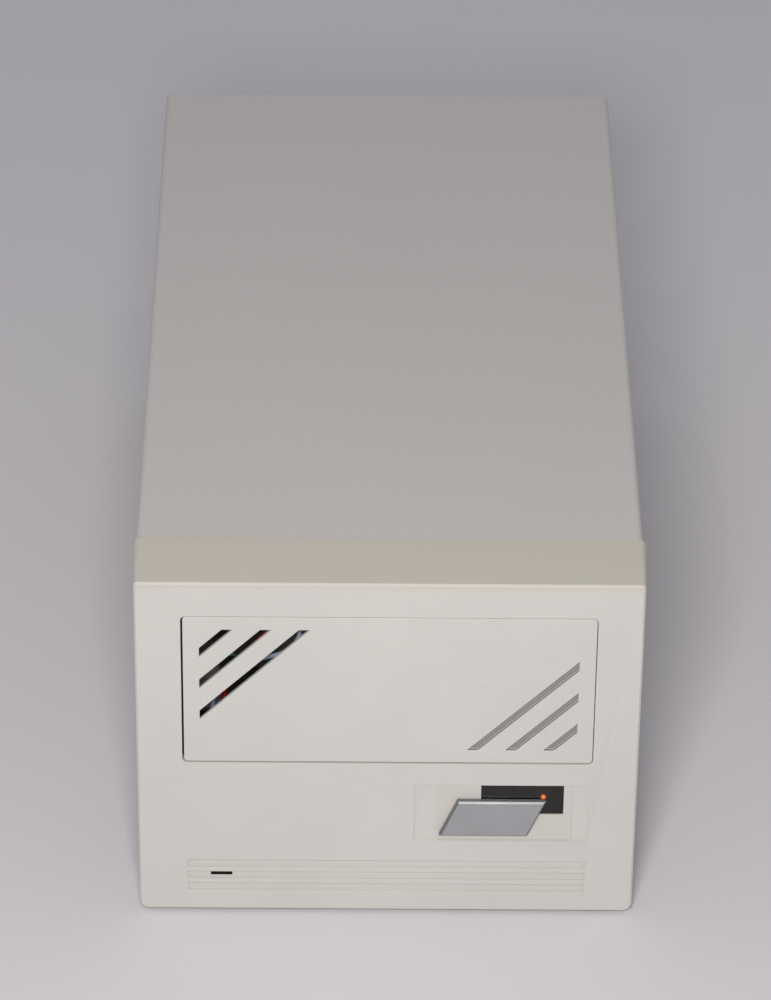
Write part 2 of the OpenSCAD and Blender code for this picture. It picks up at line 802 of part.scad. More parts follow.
// Front bezel: a drafted moulding that is open at the back
module front_bezel() color(shell_grey) placed() {
    difference() {
        union() {
            drafted_block(0, face_bevel, face_w - 2 * face_bevel, bezel_gap + face_bevel,
                face_top - face_bevel, face_bevel, upper_corner_r - face_bevel, lower_corner_r - face_bevel);
            drafted_block(face_bevel, bezel_depth - face_bevel, face_w, bezel_gap, face_top,
                bezel_draft, upper_corner_r, lower_corner_r);
            along_y(bezel_depth - tongue_l, 2 * tongue_l)
                arch(chassis_w, pan_z, chassis_top, fold_r - sheet);
        }
        span(about(0, cavity_w), [bezel_wall, bezel_depth + tongue_l + cut],
            [cavity_z, cavity_top]);
        span([-face_w, face_w], [-cut, bezel_depth + cut], [-cavity_z, bezel_gap]);
        translate([0, 0, blank_mid]) along_y(-cut, bezel_wall + 2 * cut)
            rounded_rect(blank_w + 2 * blank_gap, blank_h + 2 * blank_gap, blank_corner_r + blank_gap);
        span(recess_x, [-cut, recess_depth], [recess_z, recess_top]);
        span([window_x[0] - fit, window_x[1] + fit], [0, bezel_wall + cut],
            [window_z[0] - fit, window_z[1] + fit]);
        for (i = [0 : groove_count - 1]) span(about(0, groove_l), [-cut, groove_depth],
            from(groove_z(i), groove_h));
        span(from(slit_side - groove_l / 2, slit_w), [0, bezel_wall + cut],
            about(groove_z(min(1, groove_count - 1)) + groove_h / 2, slit_h));
    }
    for (side = [-1, 1], z = boss_z) difference() {
        bar_y(side * boss_x, bezel_wall - fit, z, boss_d, front_panel_y - bezel_wall + fit);
        bar_y(side * boss_x, front_panel_y - boss_bore_l, z, screw_hole_d, boss_bore_l + cut);
    }
    for (side = [-1, 1]) {
        bar_y(led_board_x + side * post_x, bezel_wall - fit, led_z, post_d, led_board_back + fit);
        bar_y(led_board_x + side * post_x, led_y, led_z, post_pin_d, board_t + post_pin_out);
    }
}

function groove_z(i) = bezel_gap + groove_lift + i * groove_pitch;

// The slanted slots at one end of the blank, as a flat shape
module slots(side) intersection() {
    square([blank_w - 2 * slot_side, blank_h - 2 * slot_end], center = true);
    for (i = [0 : slot_count - 1]) translate([side * (slot_first + i * slot_pitch), 0]) rotate(45)
        square([blank_w, slot_w], center = true);
}

// Bay blank: a flush plate with slanted slots, held by four snap hooks
module bay_blank() color(blank_grey) placed() translate([blank_shift, 0, blank_shift]) {
    translate([0, 0, blank_mid]) difference() {
        along_y(0, bezel_wall) rounded_rect(blank_w, blank_h, blank_corner_r);
        along_y(-cut, bezel_wall + 2 * cut) slots(-1);
        along_y(-cut, slot_depth + cut) slots(1);
        span(thin_x, [slot_wall, bezel_wall + cut], thin_z);
    }
    for (side = [-1, 1], up = [0, 1]) translate([0, 0, blank_mid]) mirror([0, 0, up])
        along_x(side * hook_x - hook_w / 2, hook_w) polygon([
            [bezel_wall - fit, hook_t - blank_h / 2], [bezel_wall - fit, -blank_h / 2],
            [bezel_wall + fit, -blank_h / 2], [bezel_wall + fit, -blank_h / 2 - hook_catch],
            [bezel_wall + hook_tip, -blank_h / 2 - hook_catch],
            [bezel_wall + hook_tip + hook_nose, hook_t - blank_h / 2]]);
}

// Label film, notched round the window
module label_film() color("#c9c6c0") placed() difference() {
    span(film_x, [recess_depth - film_t, recess_depth], [recess_z + film_margin, recess_top - film_margin]);
    span([window_x[0] - fit, window_x[1] + fit], [-cut, recess_depth + cut],
        [window_z[0] - fit, recess_top + cut]);
}

// Smoked window with a rim behind the bezel's wall
module indicator_window() color("#332f30") placed() {
    span(window_x, [recess_depth, bezel_wall + window_rim_t], window_z);
    span([window_x[0] - window_rim, window_x[1] + window_rim], [bezel_wall, bezel_wall + window_rim_t],
        [window_z[0] - window_rim, window_z[1] + window_rim]);
}

module slanted_outline(inset) {
    lean = inset * plate_slant / plate_h;
    polygon([[inset + lean, inset], [plate_w - inset + lean, inset],
        [plate_w + plate_slant - inset - lean, plate_h - inset],
        [plate_slant + inset - lean, plate_h - inset]]);
}

// Slanted plate, left blank, standing proud of the label panel
module name_plate() color("#929395") placed()
    translate([plate_x, recess_depth - film_t, plate_z]) rotate([90, 0, 0]) {
        linear_extrude(plate_t - plate_bevel) slanted_outline(0);
        hull() {
            linear_extrude(plate_t - plate_bevel) slanted_outline(0);
            linear_extrude(plate_t) slanted_outline(plate_bevel);
        }
    }

// Cover: one sheet folded over the top and sides, with lips round the rear panel
module cover() color(paint_grey) placed() difference() {
    union() {
        along_y(bezel_depth + joint_gap, case_depth - bezel_depth - joint_gap) difference() {
            arch(cover_w, pan_z, cover_top, fold_r);
            arch(cover_w - 2 * sheet, pan_z - cut, cover_top - sheet, fold_r - sheet);
        }
        for (side = [-1, 1]) translate([side * (cover_w - lip_w - sheet / 2) / 2, 0, 0])
            span(about(0, lip_w - sheet / 2), [panel_out, case_depth],
                [pan_z + lip_end, cover_top - lip_end]);
    }
    for (side = [-1, 1], z = cover_screw_z)
        bar_y(side * cover_screw_x, panel_out - cut, z, screw_hole_d, sheet + 2 * cut);
}

// The four places of something that stands in pairs at x and at y[0] and y[1]
module four(x, y) for (side = [-1, 1], at = y) translate([side * x, at, 0]) children();

// Chassis: pan, low flanges, front panel and rear panel folded from one sheet
module chassis() color(zinc) placed() difference() {
    union() {
        span(about(0, chassis_w), [wide_y, panel_out], [pan_z, pan_top]);
        span(about(0, front_panel_w), [front_panel_y, wide_y + sheet], [pan_z, pan_top]);
        for (side = [-1, 1]) translate([side * (chassis_w - sheet) / 2, 0, 0])
            span(about(0, sheet), [wide_y, panel_out], [pan_z, pan_z + flange_h]);
        span(about(0, front_panel_w), [front_panel_y, front_panel_y + sheet],
            [pan_z, cavity_top - seat_gap]);
        span(about(0, chassis_w), [panel_in, panel_out], [pan_z, chassis_top]);
    }
    // Front panel: way through for the drive, screw holes and intake slots
    span([-drive_w / 2 - drive_clear, drive_w / 2 + drive_clear],
        [front_panel_y - cut, front_panel_y + sheet + cut],
        [drive_z - drive_clear, drive_z + drive_h + drive_clear]);
    for (side = [-1, 1], z = boss_z)
        bar_y(side * boss_x, front_panel_y - cut, z, screw_hole_d, sheet + 2 * cut);
    for (i = [0 : vent_count - 1]) translate([(i - (vent_count - 1) / 2) * vent_pitch, 0, 0])
        span(about(0, vent_w), [front_panel_y - cut, front_panel_y + sheet + cut],
            from(pan_top + vent_w, intake_l));
    // Pan: cooling slots and screw holes
    for (i = [0 : vent_count - 1], y = vent_y)
        translate([(i - (vent_count - 1) / 2) * vent_pitch, 0, 0])
            span(about(0, vent_w), from(y, vent_l), [pan_z - cut, pan_top + cut]);
    four(tray_w / 2 - tray_foot_w / 2, tray_screw_y())
        translate([0, 0, pan_z - cut]) cylinder(d = screw_hole_d, h = sheet + 2 * cut);
    // Rear panel
    translate([fan_x, 0, fan_z]) {
        bar_y(0, panel_in - cut, 0, fan_hole_d, sheet + 2 * cut);
        for (x = [-1, 1], z = [-1, 1])
            bar_y(x * fan_hole_pitch / 2, panel_in - cut, z * fan_hole_pitch / 2, screw_hole_d,
                sheet + 2 * cut);
    }
    panel_hole(inlet_x, inlet_flange_w - 2 * inlet_wall, inlet_flange_h - 2 * inlet_wall);
    panel_hole(switch_x, switch_w - 2 * switch_rim, switch_h - 2 * switch_rim);
    panel_hole(address_x, address_w - 2 * address_rim, address_h - 2 * address_rim);
    for (z = [lower_z, upper_z]) translate([data_x, 0, z]) {
        along_y(panel_in - cut, sheet + 2 * cut) hood_outline(fit);
        for (side = [-1, 1])
            bar_y(side * data_hole_pitch / 2, panel_in - cut, 0, screw_hole_d, sheet + 2 * cut);
    }
    for (side = [-1, 1], z = cover_screw_z)
        bar_y(side * cover_screw_x, panel_in - cut, z, screw_hole_d, sheet + 2 * cut);
}

// A square cut-out in the lower row of the rear panel, a little larger than its part
module panel_hole(x, w, h) translate([x, 0, fan_z])
    span([-w / 2 - fit, w / 2 + fit], [panel_in - cut, panel_out + cut], [-h / 2 - fit, h / 2 + fit]);

function tray_screw_y() = [tray_y + tray_screw_end, tray_y + tray_l - tray_screw_end];

module rubber_feet() color("#2a2a2c") placed()
    four(chassis_w / 2 - foot_side, [foot_front, case_depth - foot_back]) {
        cylinder(d1 = foot_d - 2 * foot_bevel, d2 = foot_d, h = foot_bevel);
        translate([0, 0, foot_bevel]) cylinder(d = foot_d, h = pan_z - foot_bevel);
    }

// Screws in the rear panel: four for the cover, four for the connectors, four for the fan
module rear_screws() color(steel) placed() {
    for (side = [-1, 1], z = cover_screw_z)
        rear_facing_screw(side * cover_screw_x, case_depth, z, screw_l);
    for (side = [-1, 1], z = [lower_z, upper_z])
        rear_facing_screw(data_x + side * data_hole_pitch / 2, panel_out + flange_t, z, screw_l);
    for (x = [-1, 1], z = [-1, 1])
        rear_facing_screw(fan_x + x * fan_hole_pitch / 2, panel_out + guard_wire_d,
            fan_z + z * fan_hole_pitch / 2, screw_l);
}

module bezel_screws() color(steel) placed() for (side = [-1, 1], z = boss_z)
    rear_facing_screw(side * boss_x, front_panel_y + sheet, z, bezel_screw_l);

// Indicator board on the bezel's two posts
module indicator_board() color(board_green) placed() difference() {
    translate([led_board_x, 0, led_z])
        span(about(0, led_board_w), [led_y, led_y + board_t], about(0, led_board_h));
    for (side = [-1, 1])
        bar_y(led_board_x + side * post_x, led_y - cut, led_z, post_pin_d + 2 * running_gap,
            board_t + 2 * cut);
}

// A lamp that points forward from the board, with a round end
module lamp(x) translate([x, led_y, led_z]) rotate([90, 0, 0]) {
    cylinder(d = led_collar_d, h = led_collar_t);
    cylinder(d = led_d, h = led_l - led_d / 2);
    translate([0, 0, led_l - led_d / 2]) sphere(d = led_d);
}

module power_lamp() color("#3f9a4b") placed() lamp(led_x[0]);

module activity_lamp() color("#f08a1c") placed() lamp(led_x[1]);

module lamp_wire_red() color("#b02a2a") placed() lead(lamp_red_route, wire_d);

module lamp_wire_blue() color("#4f74c4") placed() lead(lamp_blue_route, wire_d);

// Tray: a folded shelf that carries the drive above the power supply
module drive_tray() color(zinc) placed() difference() {
    along_y(tray_y, tray_l) difference() {
        translate([-tray_w / 2, pan_top]) square([tray_w, tray_top - pan_top]);
        translate([tray_t - tray_w / 2, pan_top + tray_t])
            square([tray_w - 2 * tray_t, tray_top - pan_top - 2 * tray_t]);
        translate([tray_foot_w - tray_w / 2, pan_top - cut])
            square([tray_w - 2 * tray_foot_w, 2 * cut + tray_t]);
    }
    four(rail_hole_x, rail_screw_y())
        translate([0, 0, tray_top - tray_t - cut]) cylinder(d = screw_hole_d, h = tray_t + 2 * cut);
    four(tray_w / 2 - tray_foot_w / 2, tray_screw_y())
        translate([0, 0, pan_top - cut]) cylinder(d = screw_hole_d, h = tray_t + 2 * cut);
    span(about(0, tray_slot_w), about(tray_y + tray_l / 2, tray_slot_l),
        [tray_top - tray_t - cut, tray_top + cut]);
}

function rail_screw_y() = [for (back = rail_hole_back) drive_y + drive_l - back];

// Screws that hold the tray and the supply board
module inner_screws() color(steel) placed() {
    four(tray_w / 2 - tray_foot_w / 2, tray_screw_y())
        translate([0, 0, pan_top + tray_t]) pan_screw(tray_t + sheet);
    supply_corners() translate([0, 0, supply_top]) pan_screw(inner_screw_l);
}

module drive_screws() color(steel) placed() four(rail_hole_x, rail_screw_y())
    translate([0, 0, tray_top - tray_t]) rotate([180, 0, 0]) pan_screw(drive_screw_l);

// The drive's parts are drawn from its own front lower edge
module in_drive() placed() translate([0, drive_y, drive_z]) children();

// Plan of the drive: round at the left front, square elsewhere
module drive_plan(inset) {
    translate([0, spindle_back]) circle(drum_r - inset, $fn = drum_facets);
    translate([inset - drum_r, spindle_back]) square([drive_w - 2 * inset, drive_l - spindle_back - inset]);
    if (inset == 0) translate([-nose_x, 0]) square([nose_x + drive_w / 2, spindle_back]);
}

module drive_base() color(casting) in_drive() difference() {
    union() {
        translate([0, 0, rail_h]) linear_extrude(bowl_top - rail_h) drive_plan(0);
        span([-drive_w / 2, rail_w - drive_w / 2], [rail_front, drive_l - rail_back], [0, rail_h]);
        span([drive_w / 2 - rail_w, drive_w / 2], [0, drive_l], [0, rail_h]);
        span([-nose_x, drive_w / 2], [0, nose_t], [0, rail_h]);
        translate([pin_block_x, pin_block_y, bowl_top - pin_block_drop]) cube(pin_block);
        four(board_boss_x_share * drive_w, board_boss_y_shares * drive_l)
            translate([0, 0, board_rise + board_t])
                cylinder(d = board_boss_d, h = rail_h - board_rise - board_t);
    }
    difference() {
        translate([0, 0, bowl_z]) linear_extrude(drive_h) intersection() {
            drive_plan(casting_wall);
            translate([-drive_w / 2, 0]) square([drive_w, drive_l - end_wall]);
        }
        for (side = [-1, 1]) translate([side * (drive_w / 2 - lid_inset), drive_l - lid_inset, 0])
            cylinder(d = lid_boss_d, h = bowl_top);
        translate([0, spindle_back, 0]) cylinder(r = post_r, h = clamp_z + hub_clamp_t);
        translate([arm_pivot[0], spindle_back + arm_pivot[1], 0]) cylinder(r = post_r, h = arm_hub_top);
    }
    four(rail_hole_x, [for (back = rail_hole_back) drive_l - back])
        translate([0, 0, -cut]) cylinder(d = screw_hole_d, h = rail_hole_l + cut);
    lid_screw_places() translate([0, 0, bowl_top - lid_screw_l])
        cylinder(d = lid_screw_d + 2 * running_gap, h = lid_screw_l + cut);
}

module lid_screw_places() {
    for (side = [-1, 1]) translate([side * (drive_w / 2 - lid_inset), drive_l - lid_inset, 0]) children();
    translate([drive_w / 2 - lid_inset, lid_inset, 0]) children();
    translate([lid_nose_x, lid_nose_y, 0]) children();
}

module drive_lid() color(steel) in_drive() difference() {
    translate([0, 0, bowl_top]) linear_extrude(lid_t) drive_plan(0);
    translate([0, spindle_back, drive_h - lid_dish_t]) cylinder(r = bowl_r * lid_dish_share, h = lid_t);
    lid_screw_places() translate([0, 0, bowl_top - cut])
        cylinder(d = lid_screw_d + 2 * running_gap, h = lid_t + 2 * cut);
}

module lid_screws() color(steel) in_drive() lid_screw_places() translate([0, 0, drive_h])
    pan_screw(lid_screw_l, lid_screw_d, lid_head_d, lid_head_h);

module drive_board() color(board_green) in_drive() translate([0, 0, board_rise]) linear_extrude(board_t) {
    translate([-board_half_w(), drive_board_front])
        square([2 * board_half_w(), drive_l - drive_board_end - drive_board_front]);
    translate([power_socket_side - drive_w / 2, drive_l - drive_board_end - board_tab_l])
        square([drive_w / 2, board_tab_l]);
}

function board_half_w() = drive_w / 2 - rail_w - drive_board_gap;

module drive_chips() color(black) in_drive() for (at = chip_shares)
    translate([at[0] * drive_w, at[1] * drive_l, board_rise + board_t]) cube(chip_size);

module drive_data_socket() color(black) in_drive()
    translate([data_x - data_socket_w / 2, drive_l - data_socket_l, board_rise + board_t])
        cube([data_socket_w, data_socket_l, socket_rise]);

module drive_power_socket() color(cream) in_drive()
    translate([power_socket_side - drive_w / 2, drive_l - power_socket_l, board_rise + board_t])
        cube([power_socket_w, power_socket_l, socket_rise]);

function platter_z(i) = hub_z + hub_flange_t + i * platter_pitch;

module platters() color("#c7c9cc") in_drive() for (i = [0 : platter_count - 1])
    translate([0, spindle_back, platter_z(i)]) difference() {
        cylinder(d = platter_d, h = platter_t, $fn = 96);
        translate([0, 0, -cut]) cylinder(d = platter_bore_d + 2 * running_gap, h = platter_t + 2 * cut);
    }

// Hub, with its flange, the spacer rings between the platters and the clamp on top
module spindle_hub() color(steel) in_drive() translate([0, spindle_back, 0]) difference() {
    union() {
        translate([0, 0, hub_z]) cylinder(d = platter_bore_d, h = clamp_z - hub_z);
        translate([0, 0, hub_z]) cylinder(d = hub_flange_d, h = hub_flange_t);
        for (i = [0 : platter_count - 2]) translate([0, 0, platter_z(i) + platter_t])
            cylinder(d = hub_flange_d, h = platter_pitch - platter_t);
        translate([0, 0, clamp_z]) cylinder(d = hub_flange_d, h = hub_clamp_t);
    }
    translate([0, 0, hub_z - cut])
        cylinder(r = post_r + running_gap, h = clamp_z + hub_clamp_t - hub_z + 2 * cut);
}

// Head arm: one thin arm beside each face of the platters, and the coil at the back
module head_arm() color(casting) in_drive()
    translate([arm_pivot[0], spindle_back + arm_pivot[1], 0]) rotate(arm_rest) difference() {
        union() {
            translate([0, 0, arm_first_z]) cylinder(d = arm_hub_d, h = arm_hub_top - arm_first_z);
            for (i = [0 : platter_count]) translate([0, 0, arm_first_z + i * platter_pitch])
                linear_extrude(arm_t) polygon([[0, -arm_root_w / 2], [arm_l, -arm_tip_w / 2],
                    [arm_l, arm_tip_w / 2], [0, arm_root_w / 2]]);
            translate([0, 0, coil_z]) linear_extrude(coil_t) difference() {
                polygon([[0, -coil_root_w / 2], [0, coil_root_w / 2], [-coil_out, coil_end_w / 2],
                    [-coil_out, -coil_end_w / 2]]);
                polygon([[-coil_in - coil_rim, -coil_window_w / 2],
                    [-coil_in - coil_rim, coil_window_w / 2],
                    [coil_rim - coil_out, coil_end_w / 2 - coil_rim],
                    [coil_rim - coil_out, coil_rim - coil_end_w / 2]]);
            }
        }
        translate([0, 0, bowl_z]) cylinder(r = post_r + running_gap, h = drive_h);
    }

// Magnet yoke: two plates with the coil between them, joined behind it
module coil_magnet() color("#8d9094") in_drive()
    translate([arm_pivot[0], spindle_back + arm_pivot[1], 0]) {
        for (z = [coil_z - yoke_gap - yoke_t, coil_z + coil_t + yoke_gap])
            span(about(0, yoke_w), [yoke_y[0], yoke_y[1] + yoke_back_t], from(z, yoke_t));
        span(about(0, yoke_w), from(yoke_y[1], yoke_back_t),
            [coil_z - yoke_gap - yoke_t, coil_z + coil_t + yoke_gap + yoke_t]);
    }

// Places on the supply board are given from the middle of its front edge
module on_supply(at) placed() translate([at[0], supply_front + at[1], supply_top]) children();

function on_board(shares) = [shares[0] * supply_w, shares[1] * supply_l];

module supply_corners() translate([0, supply_front, 0])
    four(supply_w / 2 - standoff_inset, [standoff_inset, supply_l - standoff_inset]) children();

module supply_board() color(board_tan) placed() difference() {
    span(about(0, supply_w), [supply_front, supply_front + supply_l], [supply_z, supply_top]);
    supply_corners() translate([0, 0, supply_z - cut]) cylinder(d = screw_hole_d, h = board_t + 2 * cut);
}

module supply_standoffs() color(steel) placed() supply_corners() translate([0, 0, pan_top])
    difference() {
        cylinder(d = standoff_d, h = standoff_h, $fn = 6);
        translate([0, 0, standoff_h - inner_screw_l]) cylinder(d = screw_hole_d, h = standoff_h);
    }

module supply_transformer() color("#c9a23a") on_supply(on_board(transformer_shares)) {
    translate([-transformer_size[0] / 2, -transformer_size[1] / 2, 0])
        cube([transformer_size[0], transformer_size[1], transformer_h]);
    translate([-bobbin_size[0] / 2, -bobbin_size[1] / 2, 0])
        cube([bobbin_size[0], bobbin_size[1], transformer_h * bobbin_h_share]);
}

module mains_capacitor() color("#23252e") on_supply(on_board(mains_cap_shares))
    cylinder(d = mains_cap_d, h = mains_cap_h);

module output_capacitors() color("#2b3350") for (x = [0, 1], y = [0, 1])
    on_supply(on_board(output_cap_shares) + output_cap_pitch * [x, y])
        cylinder(d = output_cap_d, h = output_cap_h);

module supply_heat_sinks() color("#8f9396") for (at = sink_shares) on_supply(on_board(at)) {
    span([0, sink_t], [0, sink_l], [0, sink_h]);
    for (i = [0 : sink_fin_count - 1])
        translate([0, i * (sink_l - sink_fin_t) / (sink_fin_count - 1), 0])
            cube([sink_t + sink_fin_w, sink_fin_t, sink_h]);
}

module filter_choke() color("#b5682c") on_supply(on_board(choke_shares))
    translate([0, 0, choke_wire_r]) rotate_extrude() translate([choke_r, 0]) circle(choke_wire_r);

module supply_headers() color(cream) {
    on_supply([input_header_x, supply_l - header_l])
        span(about(0, input_header_w), [0, header_l], [0, header_h]);
    on_supply([output_header_x, supply_l - header_l])
        span(about(0, output_header_w), [0, header_l], [0, header_h]);
}

// The fan's parts are drawn from the middle of its outer face
module at_fan() placed() translate([fan_x, panel_in, fan_z]) children();

module fan_frame() color(black) at_fan() {
    difference() {
        along_y(-fan_depth, fan_depth) rounded_rect(fan_size, fan_size, fan_corner_r);
        bar_y(0, -fan_depth - cut, 0, fan_bore_d, fan_depth + 2 * cut);
        for (x = [-1, 1], z = [-1, 1])
            bar_y(x * fan_hole_pitch / 2, -fan_depth - cut, z * fan_hole_pitch / 2, screw_hole_d,
                fan_depth + 2 * cut);
    }
    difference() {
        union() {
            bar_y(0, -fan_depth, 0, motor_d, motor_t);
            for (turn = [0, 90]) rotate([0, 45 + turn, 0])
                span([-fan_bore_d / 2 - fit, fan_bore_d / 2 + fit], [-fan_depth, strut_t - fan_depth],
                    about(0, strut_w));
        }
        bar_y(0, -fan_depth - cut, 0, shaft_d + 2 * running_gap, fan_depth);
    }
}

module fan_rotor() color(black) at_fan() {
    bar_y(0, rotor_back - fan_depth, 0, fan_hub_d, fan_depth - rotor_back - rotor_face);
    bar_y(0, fit - fan_depth, 0, shaft_d, rotor_back);
    for (i = [0 : blade_count - 1]) rotate([0, i * 360 / blade_count, 0])
        translate([0, (rotor_back - rotor_face - fan_depth) / 2, 0]) rotate([blade_tilt, 0, 0])
            span([fan_hub_d / 2 - blade_t, blade_reach], about(0, blade_t), about(0, blade_chord));
}

// Finger guard: wire rings on two crossed wires that end in eyelets under the screws
module fan_guard() color("#b7babd") placed() translate([fan_x, panel_out, fan_z]) rotate([-90, 0, 0]) {
    for (r = guard_rings)
        translate([0, 0, guard_h]) rotate_extrude() translate([r, 0]) circle(d = guard_wire_d);
    for (turn = [guard_turn, guard_turn + 90]) rotate(turn) {
        translate([-guard_leg_r(), 0, guard_h - guard_wire_d / 2]) rotate([0, 90, 0])
            cylinder(d = guard_wire_d, h = 2 * guard_leg_r());
        for (side = [-1, 1]) {
            translate([side * guard_leg_r(), 0, guard_wire_d / 2]) {
                cylinder(d = guard_wire_d, h = guard_h - guard_wire_d);
                translate([0, 0, guard_h - guard_wire_d]) sphere(d = guard_wire_d);
            }
            translate([side * guard_eye_r(), 0, guard_wire_d / 2]) {
                rotate_extrude() translate([eyelet_r, 0]) circle(d = guard_wire_d);
                translate([-side * (guard_eye_r() - guard_leg_r()), 0, 0]) sphere(d = guard_wire_d);
                rotate([0, -side * 90, 0]) translate([0, 0, eyelet_r])
                    cylinder(d = guard_wire_d, h = guard_eye_r() - guard_leg_r() - eyelet_r);
            }
        }
    }
}

function guard_eye_r() = fan_hole_pitch / sqrt(2);

function guard_leg_r() = guard_eye_r() - screw_head_d / 2 - guard_wire_d;

// The opening of a data connector: narrower at the bottom, drawn as [X, Z]
module hood_outline(grow) polygon([
    [-hood_w / 2 - grow, hood_h / 2 + grow], [hood_w / 2 + grow, hood_h / 2 + grow],
    [hood_w / 2 - hood_slant + grow, -hood_h / 2 - grow],
    [hood_slant - hood_w / 2 - grow, -hood_h / 2 - grow]]);

module connector_shell(z) color(steel) placed() translate([data_x, panel_out, z]) difference() {
    union() {
        span(about(0, data_flange_w), [0, flange_t], about(0, data_flange_h));
        along_y(0, flange_t + hood_l) hood_outline(hood_t);
        for (side = [-1, 1], up = [0, 1]) mirror([0, 0, up]) translate([side * ear_x, 0, 0])
            span(about(0, ear_w), [0, flange_t + ear_out], [ear_z, ear_z + ear_t]);
    }
    along_y(-cut, flange_t + hood_l + 2 * cut) hood_outline(0);
    for (side = [-1, 1]) {
        bar_y(side * data_hole_pitch / 2, -cut, 0, screw_hole_d, flange_t + 2 * cut);
        translate([side * ear_x, flange_t + pivot_out, -data_flange_h])
            cylinder(d = bail_wire_d + 2 * running_gap, h = 2 * data_flange_h);
    }
}

module connector_insert(z) color("#2c3f7a") placed() translate([data_x, panel_out, z]) {
    along_y(-insert_back, insert_back + flange_t) hood_outline(-fit);
    span(about(0, tongue_w), [0, flange_t + hood_l - tongue_short], about(0, tongue_h));
}

module upper_shell() connector_shell(upper_z);

module lower_shell() connector_shell(lower_z);

module upper_insert() connector_insert(upper_z);

module lower_insert() connector_insert(lower_z);

// A quarter bend of bail wire, from +Z round to +X
module bail_bend() translate([bail_bend_r, 0, 0]) rotate([90, 0, 0]) rotate(90)
    rotate_extrude(angle = 90) translate([bail_bend_r, 0]) circle(d = bail_wire_d);

// A wire bail that lies along +X from its pivot, with its pins turned in along Z
module bail_wire() {
    for (up = [0, 1]) mirror([0, 0, up]) {
        translate([0, 0, bail_pin_z]) cylinder(d = bail_wire_d, h = bail_leg_z - bail_bend_r - bail_pin_z);
        translate([0, 0, bail_leg_z - bail_bend_r]) bail_bend();
        translate([bail_bend_r, 0, bail_leg_z]) rotate([0, 90, 0])
            cylinder(d = bail_wire_d, h = bail_l - 2 * bail_bend_r);
        translate([bail_l, 0, bail_leg_z - bail_bend_r]) mirror([1, 0, 0]) bail_bend();
    }
    translate([bail_l, 0, bail_bend_r - bail_leg_z])
        cylinder(d = bail_wire_d, h = 2 * (bail_leg_z - bail_bend_r));
}

module bail(side, z) color("#b7babd") placed()
    translate([data_x + side * ear_x, panel_out + flange_t + pivot_out, z])
        rotate(side > 0 ? bail_rest : 180 - bail_rest) bail_wire();

module upper_left_bail() bail(-1, upper_z);

module upper_right_bail() bail(1, upper_z);

module lower_left_bail() bail(-1, lower_z);

module lower_right_bail() bail(1, lower_z);

// Parts of the lower row are drawn from the panel's outer face
module on_panel(x) placed() translate([x, panel_out, fan_z]) children();

// The socket's outline, with its two upper corners cut off, drawn as [X, Z]
module socket_outline() polygon([
    [-socket_w / 2, -socket_h / 2], [socket_w / 2, -socket_h / 2],
    [socket_w / 2, socket_h / 2 - inlet_corner], [socket_w / 2 - inlet_corner, socket_h / 2],
    [inlet_corner - socket_w / 2, socket_h / 2], [-socket_w / 2, socket_h / 2 - inlet_corner]]);

module inlet_blade_slots(grow, y, l) for (at = blade_places) translate([at[0], 0, at[1]])
    span([-blade_w / 2 - grow, blade_w / 2 + grow], [y, y + l], [-blade_h / 2 - grow, blade_h / 2 + grow]);

module power_inlet() color(black) on_panel(inlet_x) difference() {
    union() {
        along_y(0, inlet_flange_t) rounded_rect(inlet_flange_w, inlet_flange_h, inlet_wall);
        span([inlet_wall - inlet_flange_w / 2, inlet_flange_w / 2 - inlet_wall],
            [inlet_flange_t - socket_depth - inlet_back_t, cut],
            [inlet_wall - inlet_flange_h / 2, inlet_flange_h / 2 - inlet_wall]);
    }
    along_y(inlet_flange_t - socket_depth, socket_depth + cut) socket_outline();
    inlet_blade_slots(running_gap, -2 * socket_depth, 2 * socket_depth);
}

module inlet_blades() color("#c6b26a") on_panel(inlet_x)
    inlet_blade_slots(0, inlet_flange_t - socket_depth - inlet_back_t - blade_tab_l,
        socket_depth - blade_recess + inlet_back_t + blade_tab_l);

module switch_body() color(black) on_panel(switch_x) difference() {
    union() {
        span(about(0, switch_w), [0, switch_flange_t], about(0, switch_h));
        span([switch_rim - switch_w / 2, switch_w / 2 - switch_rim], [-switch_depth, cut],
            [switch_rim - switch_h / 2, switch_h / 2 - switch_rim]);
    }
    span([-well_x(), well_x()], [-switch_well, switch_flange_t + cut], [-well_z(), well_z()]);
    translate([-switch_w, -rocker_pivot_in, 0]) rotate([0, 90, 0])
        cylinder(d = rocker_pivot_d + 2 * running_gap, h = 2 * switch_w);
}

function well_x() = switch_w / 2 - switch_rim - switch_wall;

function well_z() = switch_h / 2 - switch_rim - switch_end_wall;

module switch_rocker() color("#1c1c1e") on_panel(switch_x)
    translate([0, -rocker_pivot_in, 0]) rotate([rocker_tilt, 0, 0]) translate([0, rocker_pivot_in, 0]) {
        along_x(-rocker_w / 2, rocker_w) polygon([
            [rocker_edge, -rocker_h / 2], [rocker_mid, 0], [rocker_edge, rocker_h / 2],
            [-rocker_deep, rocker_foot_share * rocker_h / 2], [-rocker_keel, 0],
            [-rocker_deep, -rocker_foot_share * rocker_h / 2]]);
        translate([-rocker_w / 2 - rocker_pin_l, -rocker_pivot_in, 0]) rotate([0, 90, 0])
            cylinder(d = rocker_pivot_d, h = rocker_w + 2 * rocker_pin_l);
    }

